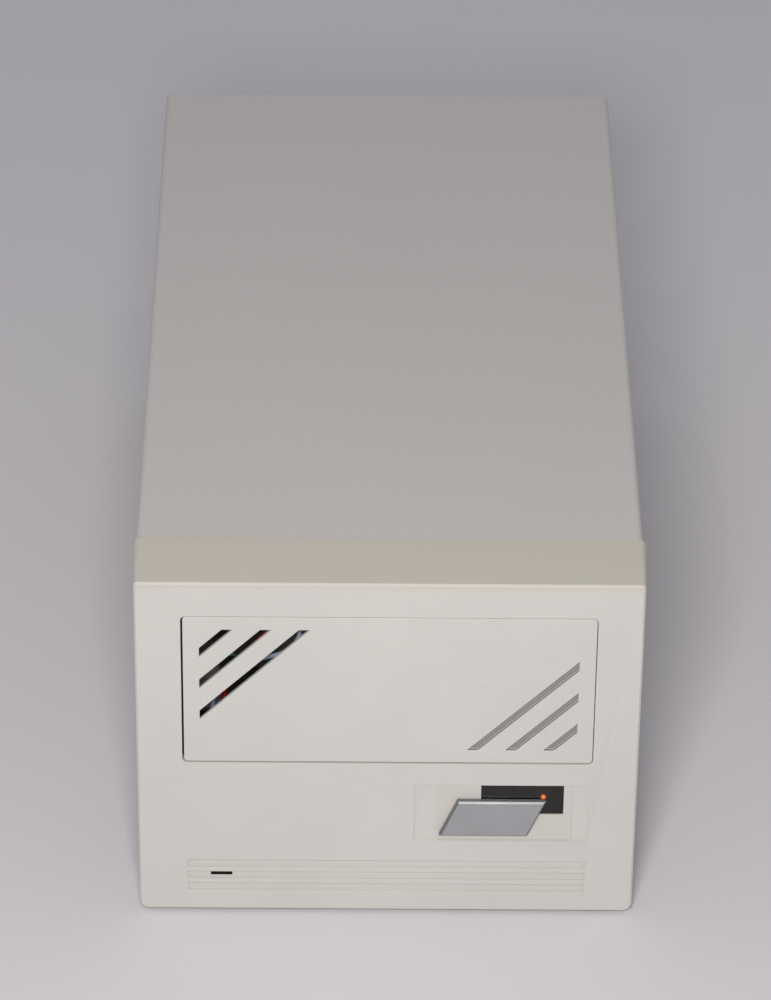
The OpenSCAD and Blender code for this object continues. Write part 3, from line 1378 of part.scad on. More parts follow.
// Address switch: a number wheel behind a window, with a button above and one below
module address_body() color(black) on_panel(address_x) difference() {
    union() {
        span(about(0, address_w), [0, address_flange_t], about(0, address_h));
        span([address_rim - address_w / 2, address_w / 2 - address_rim], [-address_depth, cut],
            [address_rim - address_h / 2, address_h / 2 - address_rim]);
    }
    wheel_bar(wheel_d + 2 * wheel_gap, wheel_w + 2 * wheel_side_gap);
    wheel_bar(wheel_shaft_d + 2 * running_gap, wheel_w + 2 * (wheel_side_gap + wheel_shaft_l));
    span([-wheel_w / 2 - wheel_side_gap, wheel_w / 2 + wheel_side_gap], [wheel_y(), address_flange_t + cut],
        [-wheel_d * wheel_window_share / 2, wheel_d * wheel_window_share / 2]);
    for (side = [-1, 1])
        button_block(side, button_w + 2 * fit, address_flange_t - button_well, button_well + cut);
}

function wheel_y() = wheel_in - wheel_d / 2;

// A bar on the number wheel's axis, centred on the switch
module wheel_bar(d, l) translate([-l / 2, wheel_y(), 0]) rotate([0, 90, 0]) cylinder(d = d, h = l);

module button_block(side, w, y, l) span(about(0, w), from(y, l), about(side * button_z, w));

module address_wheel() color("#e8e6df") on_panel(address_x) {
    translate([-wheel_w / 2, wheel_y(), 0]) rotate([0, 90, 0])
        rotate(180 / wheel_facets) cylinder(d = wheel_d, h = wheel_w, $fn = wheel_facets);
    wheel_bar(wheel_shaft_d, wheel_w + 2 * wheel_shaft_l);
}

module address_button(side) color(black) on_panel(address_x)
    button_block(side, button_w, address_flange_t + button_out - button_l, button_l);

module address_up_button() address_button(1);

module address_down_button() address_button(-1);

// Area inside the ribbon's bend, with a round lower back corner
module ribbon_side(r, reach, rise) {
    translate([0, ribbon_bend_r]) circle(r);
    translate([-reach, ribbon_bend_r - r]) square([reach, rise + r - ribbon_bend_r]);
    translate([-reach, ribbon_bend_r]) square([reach + r, rise - ribbon_bend_r]);
}

// Ribbon cable: from the drive's data socket back and up behind both connectors
module ribbon_cable() color("#a7a9ac") placed() {
    plug_y = drive_y + drive_l;
    wall_y = panel_out - insert_back - plug_t;
    low_z = drive_z + board_rise + board_t + socket_rise / 2;
    bend_y = wall_y - ribbon_t / 2 - ribbon_bend_r;
    rise = upper_z + ribbon_over - low_z;
    along_x(data_x - ribbon_w / 2, ribbon_w) translate([bend_y, low_z]) difference() {
        ribbon_side(ribbon_bend_r + ribbon_t / 2, bend_y - plug_y - plug_t / 2, rise);
        ribbon_side(ribbon_bend_r - ribbon_t / 2, bend_y - plug_y, rise + cut);
    }
    for (at = [[plug_y, low_z], [wall_y, lower_z], [wall_y, upper_z]]) translate([data_x, at[0], at[1]])
        span(about(0, data_socket_w), [0, plug_t], about(0, plug_h));
}

// Drive power lead: a plug and four wires down to the supply
module drive_power_lead() color("#d8b23a") placed() {
    plug_x = power_socket_side - drive_w / 2;
    plug_z = drive_z + board_rise + board_t;
    span(from(plug_x, power_socket_w), from(drive_y + drive_l, power_plug_l), from(plug_z, socket_rise));
    for (i = [0 : power_wire_count - 1]) {
        from_mid = i - (power_wire_count - 1) / 2;
        high_x = plug_x + power_socket_w / 2 + from_mid * power_wire_pitch;
        low_x = output_header_x + (from_mid - 1) * header_wire_pitch;
        last = len(lead_points) - 1;
        lead([for (k = [0 : last]) [high_x + (low_x - high_x) * k / last,
            drive_y + drive_l + lead_points[k][0], lead_points[k][1]]], lead_d);
    }
}

module mains_leads() color("#7a4a2a") placed() {
    lead(mains_live_route, mains_d);
    lead(mains_switched_route, mains_d);
    lead(mains_neutral_route, mains_d);
}

module fan_lead() color("#9c2c2c") placed() {
    lead(fan_red_route, wire_d);
    lead(fan_black_route, wire_d);
}

front_bezel();
bay_blank();
label_film();
indicator_window();
name_plate();
cover();
chassis();
rubber_feet();
rear_screws();
bezel_screws();
indicator_board();
power_lamp();
activity_lamp();
lamp_wire_red();
lamp_wire_blue();
drive_tray();
inner_screws();
drive_screws();
drive_base();
drive_lid();
lid_screws();
drive_board();
drive_chips();
drive_data_socket();
drive_power_socket();
platters();
spindle_hub();
head_arm();
coil_magnet();
supply_board();
supply_standoffs();
supply_transformer();
mains_capacitor();
output_capacitors();
supply_heat_sinks();
filter_choke();
supply_headers();
fan_frame();
fan_rotor();
fan_guard();
power_inlet();
inlet_blades();
switch_body();
switch_rocker();
upper_shell();
lower_shell();
upper_insert();
lower_insert();
upper_left_bail();
upper_right_bail();
lower_left_bail();
lower_right_bail();
address_body();
address_wheel();
address_up_button();
address_down_button();
ribbon_cable();
drive_power_lead();
mains_leads();
fan_lead();
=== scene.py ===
"""Desktop drive enclosure: its finished pieces, their materials and the studio they stand in."""

import json
import math
from collections import namedtuple

import bmesh
import bpy
from bpy.props import (
    FloatProperty, FloatVectorProperty, IntProperty, PointerProperty,
)
from mathutils import Matrix, Vector

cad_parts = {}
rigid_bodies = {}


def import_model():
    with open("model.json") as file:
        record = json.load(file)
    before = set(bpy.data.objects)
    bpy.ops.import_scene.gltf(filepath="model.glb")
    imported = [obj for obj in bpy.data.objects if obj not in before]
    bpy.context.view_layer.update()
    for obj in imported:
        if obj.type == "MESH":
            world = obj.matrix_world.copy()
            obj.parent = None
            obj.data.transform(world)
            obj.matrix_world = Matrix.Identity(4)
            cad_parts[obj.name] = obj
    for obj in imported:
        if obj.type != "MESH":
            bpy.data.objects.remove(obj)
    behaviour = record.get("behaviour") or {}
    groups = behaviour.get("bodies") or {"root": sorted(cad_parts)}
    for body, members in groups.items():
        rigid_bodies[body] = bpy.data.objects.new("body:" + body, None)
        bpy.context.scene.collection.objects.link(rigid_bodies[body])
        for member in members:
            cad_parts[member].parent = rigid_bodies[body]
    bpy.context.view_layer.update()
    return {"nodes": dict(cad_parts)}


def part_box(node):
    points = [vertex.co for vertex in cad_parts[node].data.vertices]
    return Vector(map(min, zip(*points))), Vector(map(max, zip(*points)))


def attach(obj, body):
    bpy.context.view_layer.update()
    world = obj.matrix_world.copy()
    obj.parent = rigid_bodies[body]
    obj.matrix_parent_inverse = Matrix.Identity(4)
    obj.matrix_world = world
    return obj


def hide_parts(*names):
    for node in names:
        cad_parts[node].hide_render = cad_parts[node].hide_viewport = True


bl_info = {
    "name": "Desktop Drive Enclosure",
    "version": (1, 0, 0),
    "blender": (4, 5, 0),
    "location": "3D View > Sidebar > Enclosure",
    "description": "Finishes a desktop enclosure for a 3.5-inch drive and lights it for a picture",
    "category": "Object",
}

for leftover in list(bpy.data.objects):
    bpy.data.objects.remove(leftover)
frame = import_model()

MM = 0.001
FACE_Y = -125.5915 * MM
SEED = 7
# An edge is sharp above the first angle, part of an arc below the second and no edge below the third
SMOOTH_ANGLE = math.radians(38)
ARC_ANGLE = math.radians(25)
FLAT_ANGLE = math.radians(0.4)
MERGE = 0.002 * MM

# An edge is rounded when it is at least this many radii long
ROOM = 2.5
# Shares of a radius that are tried, until the mesh stays whole
SHARES = (1, 0.6, 0.35, 0)
# Largest errors of a whole mesh, as shares of its area: faces that fold over, and lost or added faces
COVER_ERROR = 2e-4
AREA_ERROR = 0.04

# Ranges of the drifting noise that span a finish's two colours and its two roughnesses
TINT_SPAN = (0.34, 0.66)
ROUGH_SPAN = (0.3, 0.7)

# Places and sizes in millimetres, and angles, that the marks, contacts, plugs and fan share with the solids
RECEPTACLE_X = 4
RECEPTACLE_Z = {"upper": 86.55, "lower": 64.55}
CONTACT_Y = 245
ROCKER_PIVOT = (10.15, 240.5, 27.5)
ROCKER_TILT = math.radians(12)
ROCKER_SLOPE = math.atan2(2.2 - 0.6, 8.3)
# Distance from the pivot out to the rocker's faces, and up or down to their middles
ROCKER_FACE = (1.5 + 1.4 + 0.01, 4.15)
WHEEL_RADIUS = 5.0
WHEEL_FACES = 8
# The fan's hub starts behind the front end of its shaft
HUB_RADIUS = 10.5
HUB_SETBACK = 3.2
SHAFT_RADIUS = 1.0
SHAFT_LENGTH = 3.6
BLADE_TAPER = 0.12
# Thickness of a mark
INK = 0.02

# Height of a capital letter as a share of its font's size
CAPITAL = 0.7

# Lays a shape that lies flat on the ground upright, facing back
FACING_BACK = Matrix.Rotation(math.pi, 4, "Z") @ Matrix.Rotation(math.pi / 2, 4, "X")

# Boxes of dust in the slit and in the blank's closed slots, in millimetres behind the face
SLIT_BOX = ((-44.8, 0.72, 11.3), (-38.7, 2.45, 12.6))
SLOT_BOX = ((15, 0.2, 50), (48, 1.2, 80))

# Screws, in millimetres: width of the head, its height, width of the shank
Screws = namedtuple("Screws", "node direction head height shank")
SCREW_SETS = (
    Screws("rear_screws", (0, 1, 0), 5.6, 2.0, 3.0), Screws("bezel_screws", (0, 1, 0), 5.6, 2.0, 3.0),
    Screws("inner_screws", (0, 0, 1), 5.6, 2.0, 3.0), Screws("drive_screws", (0, 0, -1), 5.6, 2.0, 3.0),
    Screws("lid_screws", (0, 0, 1), 3.6, 1.0, 2.0),
)
# Width of a cross recess and height of its floor, as shares of the head's width and height
CROSS_WIDTH = 0.16
CROSS_FLOOR = 0.42
# Angles of the points on a dome
DOME_STEPS = [math.radians(angle) for angle in (0, 20, 40, 58, 74)]

# Routes of the leads, in millimetres behind the face: name, slot, jacket, points
LAMP_ROUTES = (
    ("lamp_wire_red", "red_insulation", "#B12A2A", (
        (23, 11, 38.4), (20, 14.2, 38.6), (8, 14.2, 41.4), (-14, 13.4, 43.4), (-33, 12.5, 45),
        (-41, 11.5, 52), (-40, 9.6, 66), (-35, 8.4, 75.4), (-31.3, 8, 80.7), (-27.4, 9.4, 83.9),
        (-24.8, 12.7, 85))),
    ("lamp_wire_blue", "blue_insulation", "#B9C8E4", (
        (23, 11, 35.6), (19.6, 15.2, 35.4), (6, 15.2, 39.4), (-15, 14.8, 41.2), (-35, 14, 42.6),
        (-43.6, 13, 51), (-42.6, 12, 63), (-38, 10.9, 69), (-31, 9, 73.4), (-25.5, 8, 76.2),
        (-22.4, 9.2, 79.6), (-22.2, 12.5, 83))),
)
POWER_DROP = ((162.5, 57), (169, 56.4), (175.6, 48), (175.6, 32), (168, 21), (160.5, 18.4))
POWER_WIRES = (("yellow", -47.2, -32), ("black", -42.2, -28), ("black", -37.2, -24), ("red", -32.2, -20))
JACKETS = {"yellow": "#D6B23C", "black": "#1E1E20", "red": "#B02C28", "brown": "#6E4226", "blue": "#4A6FB4"}
LEAD_SLOTS = {"brown": "brown_insulation", "blue": "blue_insulation", "red": "red_insulation",
              "black": "red_insulation"}
# Name, jacket and points of each wire, under its node
LEAD_ROUTES = {
    "mains_leads": (
        ("mains_wire_live", "brown", (
            (44.2, 217.5, 25.6), (44, 211, 27), (36, 205, 33), (20, 208, 35), (12, 218, 33),
            (10.2, 227.6, 31.6))),
        ("mains_wire_switched", "brown", (
            (10.2, 227.5, 23.6), (11, 218, 21), (14, 200, 16.4), (22, 178, 15.4), (23, 168, 16.6),
            (23, 160.5, 18))),
        ("mains_wire_neutral", "blue", (
            (30.2, 217.5, 25.6), (30.6, 208, 23), (31, 190, 16.4), (30, 172, 15.8), (29, 160.5, 18)))),
    "fan_lead": (
        ("fan_wire_red", "red", (
            (-19, 220.7, 14), (-19.2, 213, 12.6), (-18, 196, 12), (-15.6, 174, 14.6), (-15, 160.4, 17.4))),
        ("fan_wire_black", "black", (
            (-16, 220.7, 14), (-16.2, 213, 12.4), (-15, 196, 12), (-12.6, 174, 14.6), (-12, 160.4, 17.4)))),
}

# Route of the ribbon cable and its plugs, in millimetres behind the face
RIBBON_START = 155
RIBBON_BEND = (215.55, 56.85, 10)
RIBBON_TOP = 93.55
RIBBON_PLUGS = (("ribbon_plug_drive", 152.5, 56.85), ("ribbon_plug_lower", 226, 64.55),
                ("ribbon_plug_upper", 226, 86.55))
# Half width, depth and half height of a plug
PLUG_SIZE = (32, 6, 4)

# Key light in metres, and the camera's axes as fitted to the picture
KEY_PLACE = (-0.045, -0.74, 0.57)
KEY_TARGET = (-0.02, -0.1, 0.04)
CAMERA_RIGHT = (0.99995, -0.00239, 0.00984)
CAMERA_UP = (-0.00684, 0.55797, 0.82983)
CAMERA_BACK = (-0.00747, -0.82986, 0.55792)


# Colours and sizes

def linear(hex_colour):
    """Turn an sRGB hex colour into linear red, green, blue and alpha."""
    values = [int(hex_colour[k:k + 2], 16) / 255 for k in (1, 3, 5)]
    return [v / 12.92 if v <= 0.04045 else ((v + 0.055) / 1.055) ** 2.4 for v in values] + [1.0]


def close_to(tone, share):
    """The same colour, lighter or darker by a share."""
    return [min(1.0, v * share) for v in tone[:3]] + [1.0]


def per_metre(size):
    """Scale of a pattern whose features are this many millimetres across."""
    return 1 / (size * MM)


def behind(x, y, z):
    """A point in metres, from millimetres measured behind the bezel's front face."""
    return Vector((x * MM, y * MM + FACE_Y, z * MM))


def colour(label, hex_colour, text):
    return FloatVectorProperty(name=label, description=text, subtype="COLOR", size=4,
                               min=0, max=1, default=linear(hex_colour))


def length(label, size, text):
    return FloatProperty(name=label, description=text, default=size * MM, min=0, unit="LENGTH")


def number(label, value, text, **limits):
    return FloatProperty(name=label, description=text, default=value, **limits)


def count(label, value, text):
    return IntProperty(name=label, description=text, default=value, min=1)


# Node trees

def add(tree, kind, inputs=None, **settings):
    """Add a node with its settings, and link or set each of its inputs."""
    node = tree.nodes.new(kind)
    for key, value in settings.items():
        setattr(node, key, value)
    for key, value in (inputs or {}).items():
        several = isinstance(value, list) and isinstance(value[0], bpy.types.NodeSocket)
        for source in value if several else [value]:
            if isinstance(source, bpy.types.NodeSocket):
                tree.links.new(source, node.inputs[key])
            else:
                node.inputs[key].default_value = source
    return node


def maths(tree, operation, first, second):
    """One sum on two numbers or sockets."""
    return add(tree, "ShaderNodeMath", {0: first, 1: second}, operation=operation).outputs[0]


def vectors(tree, operation, first, second=(0, 0, 0)):
    """One sum on two vectors or sockets."""
    return add(tree, "ShaderNodeVectorMath", {0: first, 1: second}, operation=operation).outputs[0]


def part_of(tree, place, axis):
    """One coordinate of a place."""
    return add(tree, "ShaderNodeSeparateXYZ", {0: place}).outputs[axis]


def remap(tree, value, low, high, to=(0.0, 1.0)):
    """A value stretched from one range to another and held in it."""
    return add(tree, "ShaderNodeMapRange", {
        "Value": value, "From Min": low, "From Max": high, "To Min": to[0], "To Max": to[1]}).outputs[0]


def mixed(tree, share, first, second):
    """A colour between two others."""
    return add(tree, "ShaderNodeMix", {0: share, 6: first, 7: second}, data_type="RGBA").outputs[2]


def noise(tree, place, size, detail=2.0, roughness=0.5):
    """Soft noise round 0.5 with features this many millimetres across."""
    return add(tree, "ShaderNodeTexNoise", {
        "Vector": place, "Scale": per_metre(size), "Detail": detail, "Roughness": roughness}).outputs[0]


def within(tree, place, low, high):
    """1 in a box of the piece and 0 outside it."""
    off = vectors(tree, "SUBTRACT", place, tuple((low + high) / 2))
    share = vectors(tree, "DIVIDE", off, tuple((high - low) / 2))
    far = vectors(tree, "ABSOLUTE", share)
    wide = maths(tree, "MAXIMUM", part_of(tree, far, "X"), part_of(tree, far, "Y"))
    return maths(tree, "LESS_THAN", maths(tree, "MAXIMUM", wide, part_of(tree, far, "Z")), 1.0)


# Materials

Finish = namedtuple("Finish", "material tree place tint shader")


def relieved(made, height, distance, strength=1.0):
    """Give the finish a relief and return its material."""
    raised = add(made.tree, "ShaderNodeBump", {"Height": height, "Distance": distance, "Strength": strength})
    made.tree.links.new(raised.outputs[0], made.shader.inputs["Normal"])
    return made.material


def brushed(made, stretch, size, detail, depth):
    """Give the finish strokes along the axis that is stretched; size and depth are in millimetres."""
    drawn = vectors(made.tree, "MULTIPLY", made.place, stretch)
    return relieved(made, noise(made.tree, drawn, size, detail), depth * MM)


def recolour(made, socket):
    """Give the finish a new base colour and return its material."""
    made.tree.links.new(socket, made.shader.inputs["Base Color"])
    return made.material


def finish(name, light, dark, patch, roughness, grit=0.0, depth=0.0, metallic=0.0, sockets=None):
    """Two close colours that drift in patches, a drifting roughness and a fine relief.

    The patch, the grit and its depth are in millimetres.
    """
    material = bpy.data.materials.new(name)
    material.use_nodes = True
    tree = material.node_tree
    tree.nodes.clear()
    place = add(tree, "ShaderNodeTexCoord").outputs["Object"]
    drift = noise(tree, place, patch, detail=4.0, roughness=0.62)
    tint = mixed(tree, remap(tree, drift, *TINT_SPAN), dark, light)
    shader = add(tree, "ShaderNodeBsdfPrincipled", {
        "Base Color": tint, "Roughness": remap(tree, drift, *ROUGH_SPAN, to=(roughness[1], roughness[0])),
        "Metallic": metallic, **(sockets or {})})
    add(tree, "ShaderNodeOutputMaterial", {"Surface": shader.outputs[0]})
    made = Finish(material, tree, place, tint, shader)
    if grit:
        relieved(made, noise(tree, place, grit), depth * MM)
    return made


# Light and dark colour, patch, roughness, grit, depth and metallic of the finishes with no settings
PLAIN = {
    # Warm bright grey with light handling marks
    "nickel_plated_steel": ("#C9C5BE", "#BBB7B0", 3, (0.22, 0.32), 0.4, 0.003, 1.0),
    # Bright, with drawing lines too fine to show as more than a soft sheen
    "tinned_spring_wire": ("#CFD0D0", "#B3B5B6", 4, (0.22, 0.34), 0.3, 0.002, 1.0),
    # Near black and dull, with a bloom of paler patches
    "moulded_rubber": ("#2E2C2B", "#1B1A1A", 5, (0.72, 0.9), 0.4, 0.02, 0.0),
    # Tumbled: matt grey with a pebbled skin of about 0.6 mm
    "die_cast_aluminium": ("#A7A8A8", "#86888A", 12, (0.42, 0.6), 0.6, 0.03, 0.75),
    # A disk lapped to a dark mirror
    "lapped_plated_disk": ("#C2BEB8", "#AFABA6", 30, (0.06, 0.1), 0.0, 0.0, 1.0),
    # Extruded aluminium: soft grey with a fine grain
    "anodised_extrusion": ("#A9ACAE", "#909497", 10, (0.3, 0.42), 0.5, 0.006, 0.9),
    # Warm yellow and bright
    "gold_flashed_contact": ("#D8B45E", "#BE9740", 2, (0.18, 0.28), 0.0, 0.0, 1.0),
    # White and chalky
    "pad_printed_ink": ("#DEDCD6", "#C9C7C0", 1, (0.55, 0.7), 0.0, 0.0, 0.0),
    # Black and satin
    "hot_stamped_digit": ("#161616", "#0E0E0E", 1, (0.4, 0.5), 0.0, 0.0, 0.0),
}


def plain(name):
    """The material of a finish with no settings."""
    light, dark, *rest = PLAIN[name]
    return finish(name, linear(light), linear(dark), *rest).material


def moulded_abs(name, settings, rubbed=False, dust=None, box=None):
    """ABS moulded in a spark-eroded tool: a dull fine grain, yellowed near its top.

    The real grain is near 0.2 mm and is drawn at 0.5 mm so that it shows. Dust has
    gathered in the box, whose corners are in millimetres behind the face.
    """
    light = close_to(settings.plastic, 1.06 if rubbed else 1.0)
    made = finish(name, light, close_to(light, 0.955), patch=38, grit=0.5,
                  roughness=(0.34, 0.46) if rubbed else (0.5, 0.6), depth=0.004 if rubbed else 0.014)
    tree = made.tree
    aged = remap(tree, part_of(tree, made.place, "Z"), settings.yellow_from, settings.yellow_full)
    warm = mixed(tree, aged, made.tint, settings.yellowed)
    specks = add(tree, "ShaderNodeTexVoronoi", {
        "Vector": made.place, "Scale": per_metre(9), "Randomness": 1.0})
    clean = remap(tree, specks.outputs["Distance"], 0.02, 0.035)
    shown = mixed(tree, clean, close_to(settings.plastic, 0.8), warm)
    if box:
        shown = mixed(tree, within(tree, made.place, *(behind(*corner) for corner in box)), shown, dust)
    return recolour(made, shown)


def baked_paint(name, tone, rubbed=False):
    """Polyester powder paint on steel: an even satin skin with a soft orange peel of about 1.2 mm."""
    made = finish(name, close_to(tone, 1.05 if rubbed else 1.0), close_to(tone, 0.985), patch=55,
                  roughness=(0.38, 0.44) if rubbed else (0.5, 0.55), grit=1.2, depth=0.012)
    grains = noise(made.tree, made.place, 0.7, detail=1.0)
    fleck = remap(made.tree, grains, 0.3, 0.7, to=(0.95, 1.04))
    return recolour(made, vectors(made.tree, "MULTIPLY", made.tint, fleck))


def printed_film(tone):
    """Polycarbonate label film, printed on its back: flat, pale and satin."""
    return finish("printed_polycarbonate_film", tone, close_to(tone, 0.975), patch=20,
                  roughness=(0.32, 0.4), grit=0.6, depth=0.004).material


def smoked_acrylic(tone):
    """Smoked acrylic window: dark and glossy, and a lit lamp shows through it."""
    return finish("smoked_acrylic", tone, close_to(tone, 0.9), patch=15, roughness=(0.1, 0.16),
                  sockets={"Transmission Weight": 0.5, "IOR": 1.49}).material


def satin_plate(tone):
    """Aluminium badge with a satin face: strokes run across, about 0.5 mm apart, and its sides are dark."""
    made = finish("satin_aluminium_badge", tone, close_to(tone, 0.93), patch=8, roughness=(0.34, 0.44),
                  metallic=0.55)
    brushed(made, (0.03, 1.0, 1.0), size=0.5, detail=2.0, depth=0.006)
    side = remap(made.tree, part_of(made.tree, made.place, "Y"), FACE_Y - 1.3 * MM, FACE_Y - 1.2 * MM)
    return recolour(made, mixed(made.tree, side, made.tint, close_to(tone, 0.5)))


def zinc_plate():
    """Zinc-plated sheet steel: bluish grey, clouded by its passivation, with rolling lines."""
    made = finish("zinc_plated_steel", linear("#C0C3C6"), linear("#AFB3B7"), patch=14,
                  roughness=(0.34, 0.44), metallic=0.9)
    return brushed(made, (1.0, 0.04, 1.0), size=0.6, detail=3.0, depth=0.004)


def stamped_lid():
    """Stamped stainless lid, brushed lengthways with strokes about 0.5 mm apart."""
    made = finish("brushed_stainless_lid", linear("#BFBDB9"), linear("#A19F9C"), patch=20,
                  roughness=(0.24, 0.38), metallic=1.0)
    return brushed(made, (1.0, 0.02, 1.0), size=0.5, detail=3.0, depth=0.01)


def circuit_board(name, mask, track):
    """Laminate under solder mask: copper tracks 2.5 mm apart show as paler lines."""
    made = finish(name, mask, close_to(mask, 0.8), patch=12, roughness=(0.3, 0.42))
    tree = made.tree
    black, white = (0, 0, 0, 1), (1, 1, 1, 1)
    lines = add(tree, "ShaderNodeTexBrick", {
        "Vector": made.place, "Color1": black, "Color2": black, "Mortar": white, "Scale": 1.0,
        "Mortar Size": 0.35 * MM, "Brick Width": 17 * MM, "Row Height": 2.5 * MM}).outputs[0]
    shown = remap(tree, noise(tree, made.place, 16), 0.46, 0.5)
    return recolour(made, mixed(tree, maths(tree, "MULTIPLY", lines, shown), made.tint, track))


def moulded_nylon(name, tone, roughness=(0.4, 0.52)):
    """Moulded nylon or polyester: an even colour with a faint eggshell skin of about 0.5 mm."""
    return finish(name, tone, close_to(tone, 0.86), 10, roughness, grit=0.5, depth=0.01).material


def lamp_epoxy(name, tone, glow=0.0, die=None):
    """Tinted epoxy lamp: clear and glossy; the die of a lit one shows as a bright spot."""
    made = finish(name, tone, close_to(tone, 0.85), patch=3, roughness=(0.08, 0.14),
                  sockets={"Transmission Weight": 0.35, "IOR": 1.55, "Emission Color": tone})
    if die:
        away = add(made.tree, "ShaderNodeVectorMath", {0: made.place, 1: die}, operation="DISTANCE")
        spot = remap(made.tree, away.outputs["Value"], 0.3 * MM, 0.8 * MM, to=(glow, glow * 0.006))
        made.tree.links.new(spot, made.shader.inputs["Emission Strength"])
    return made.material


def wire_jacket(name, tone):
    """Soft PVC insulation: an even satin colour with scuffs a few millimetres long."""
    return finish(name, tone, close_to(tone, 0.85), patch=6, roughness=(0.36, 0.5),
                  grit=0.8, depth=0.01).material


def shrunk_sleeve(tone):
    """Shrunk PVC sleeve on a capacitor: smooth and half glossy."""
    return finish("shrunk_pvc_sleeve", tone, close_to(tone, 0.8), patch=9, roughness=(0.26, 0.36)).material


def winding_tape():
    """Yellow polyester tape over a transformer's winding, lapped every 6 mm."""
    made = finish("polyester_winding_tape", linear("#D2A93C"), linear("#B98F28"), patch=8,
                  roughness=(0.26, 0.36))
    lap = maths(made.tree, "PINGPONG", part_of(made.tree, made.place, "Z"), 6 * MM)
    return relieved(made, lap, 0.2, strength=0.3)


def enamelled_copper():
    """Enamelled copper wire: deep orange brown with a clear gloss."""
    return finish("enamelled_copper_wire", linear("#B5612C"), linear("#8E431B"), patch=3,
                  roughness=(0.2, 0.3), metallic=0.85, sockets={"Coat Weight": 0.6}).material


def pale_laminate(tone):
    """Pale laminate table top: a lilac grey with a soft cloud and a fine dull grain."""
    return finish("pale_laminate", tone, close_to(tone, 0.985), patch=160, roughness=(0.62, 0.72),
                  grit=1.5, depth=0.01).material


# Meshes

def placed_object(name, data):
    piece = bpy.data.objects.new(name, data)
    bpy.context.scene.collection.objects.link(piece)
    return piece


def discard(*pieces):
    for piece in pieces:
        bpy.data.objects.remove(piece)


def evaluated(piece):
    """The mesh that a piece and its live modifiers make."""
    bpy.context.view_layer.update()
    graph = bpy.context.evaluated_depsgraph_get()
    return bpy.data.meshes.new_from_object(piece.evaluated_get(graph), depsgraph=graph)


def settled(piece):
    """Turn a piece and its live modifiers into a plain mesh."""
    mesh = evaluated(piece)
    mesh.name = piece.name
    piece.modifiers.clear()
    piece.data = mesh
    return piece


def sharp_edges(mesh):
    """Shade smooth, with a crease at each edge that turns by more than the smooth angle."""
    mesh.polygons.foreach_set("use_smooth", [True] * len(mesh.polygons))
    mesh.set_sharp_from_angle(angle=SMOOTH_ANGLE)


def merged(node):
    """Copy a node's loose triangles as one joined mesh with its flat faces whole."""
    work = bmesh.new()
    work.from_mesh(frame["nodes"][node].data)
    bmesh.ops.remove_doubles(work, verts=work.verts, dist=MERGE)
    bmesh.ops.dissolve_limit(work, angle_limit=FLAT_ANGLE, verts=work.verts, edges=work.edges)
    return work


def roundable(work, width):
    """The sharp edges that have room for a round of this width."""
    sharp = {edge for edge in work.edges if len(edge.link_faces) == 2
             and edge.calc_face_angle(0.0) > SMOOTH_ANGLE}
    tight = set()
    for edge in sharp:
        if edge.calc_length() >= ROOM * width:
            continue
        along = edge.verts[1].co - edge.verts[0].co
        for vert in edge.verts:
            after = [other for other in vert.link_edges if other in sharp and other is not edge]
            turns = [along.angle(o.verts[1].co - o.verts[0].co, 0.0) for o in after]
            if not any(min(turn, math.pi - turn) < ARC_ANGLE for turn in turns):
                tight.add(edge)
    beside = {other for edge in tight for vert in edge.verts for other in vert.link_edges}
    return [edge for edge in sharp if edge not in tight and edge not in beside]


def whole(mesh, area):
    """True when the mesh's triangles cover its faces once and its area is close to the given one."""
    mesh.calc_loop_triangles()
    covered = sum(triangle.area for triangle in mesh.loop_triangles)
    faces = sum(face.area for face in mesh.polygons)
    return abs(covered / faces - 1) < COVER_ERROR and abs(faces / area - 1) < AREA_ERROR


def rounded(piece, width, segments=2, rubbed=False):
    """Round the sharp edges; with rubbed, the round edges take the piece's second material.

    Where a mesh has no room for the width, a smaller one is used.
    """
    plain = piece.data
    area = sum(face.area for face in plain.polygons)
    for share in SHARES:
        mesh = plain.copy()
        work = bmesh.new()
        work.from_mesh(mesh)
        weight = work.edges.layers.float.new("bevel_weight_edge")
        for edge in roundable(work, width * share):
            edge[weight] = 1.0
        work.to_mesh(mesh)
        work.free()
        piece.data = mesh
        sharp_edges(mesh)
        bevel = piece.modifiers.new("round_edges", "BEVEL")
        bevel.width = width * share
        bevel.segments = segments
        bevel.limit_method = "WEIGHT"
        if rubbed:
            bevel.material = 1
        even = piece.modifiers.new("even_normals", "WEIGHTED_NORMAL")
        even.weight = 100
        even.keep_sharp = True
        settled(piece)
        if whole(piece.data, area):
            break
    return piece


def softened(node, width, *materials):
    """Stand in for a node with a copy whose sharp edges are rounded."""
    mesh = bpy.data.meshes.new(node)
    work = merged(node)
    work.to_mesh(mesh)
    work.free()
    for material in materials:
        mesh.materials.append(material)
    piece = placed_object("finished_" + node, mesh)
    return rounded(piece, width, rubbed=len(materials) > 1)


def fitted(piece, body, slot, *nodes):
    """Set a finished piece on its body, in place of the nodes that it stands for."""
    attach(piece, body)
    if nodes:
        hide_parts(*nodes)
    return piece


def dress(node, width, body, slot, *materials):
    return fitted(softened(node, width, *materials), body, slot, node)


def dress_all(*rows):
    """Dress nodes, each a (node, edge radius in millimetres, body, slot, material)."""
    for node, edge, body, slot, material in rows:
        dress(node, edge * MM, body, slot, material)


def surfaced(node, material):
    """Give a node that keeps its own shape a better material."""
    for slot in frame["nodes"][node].material_slots:
        slot.material = material


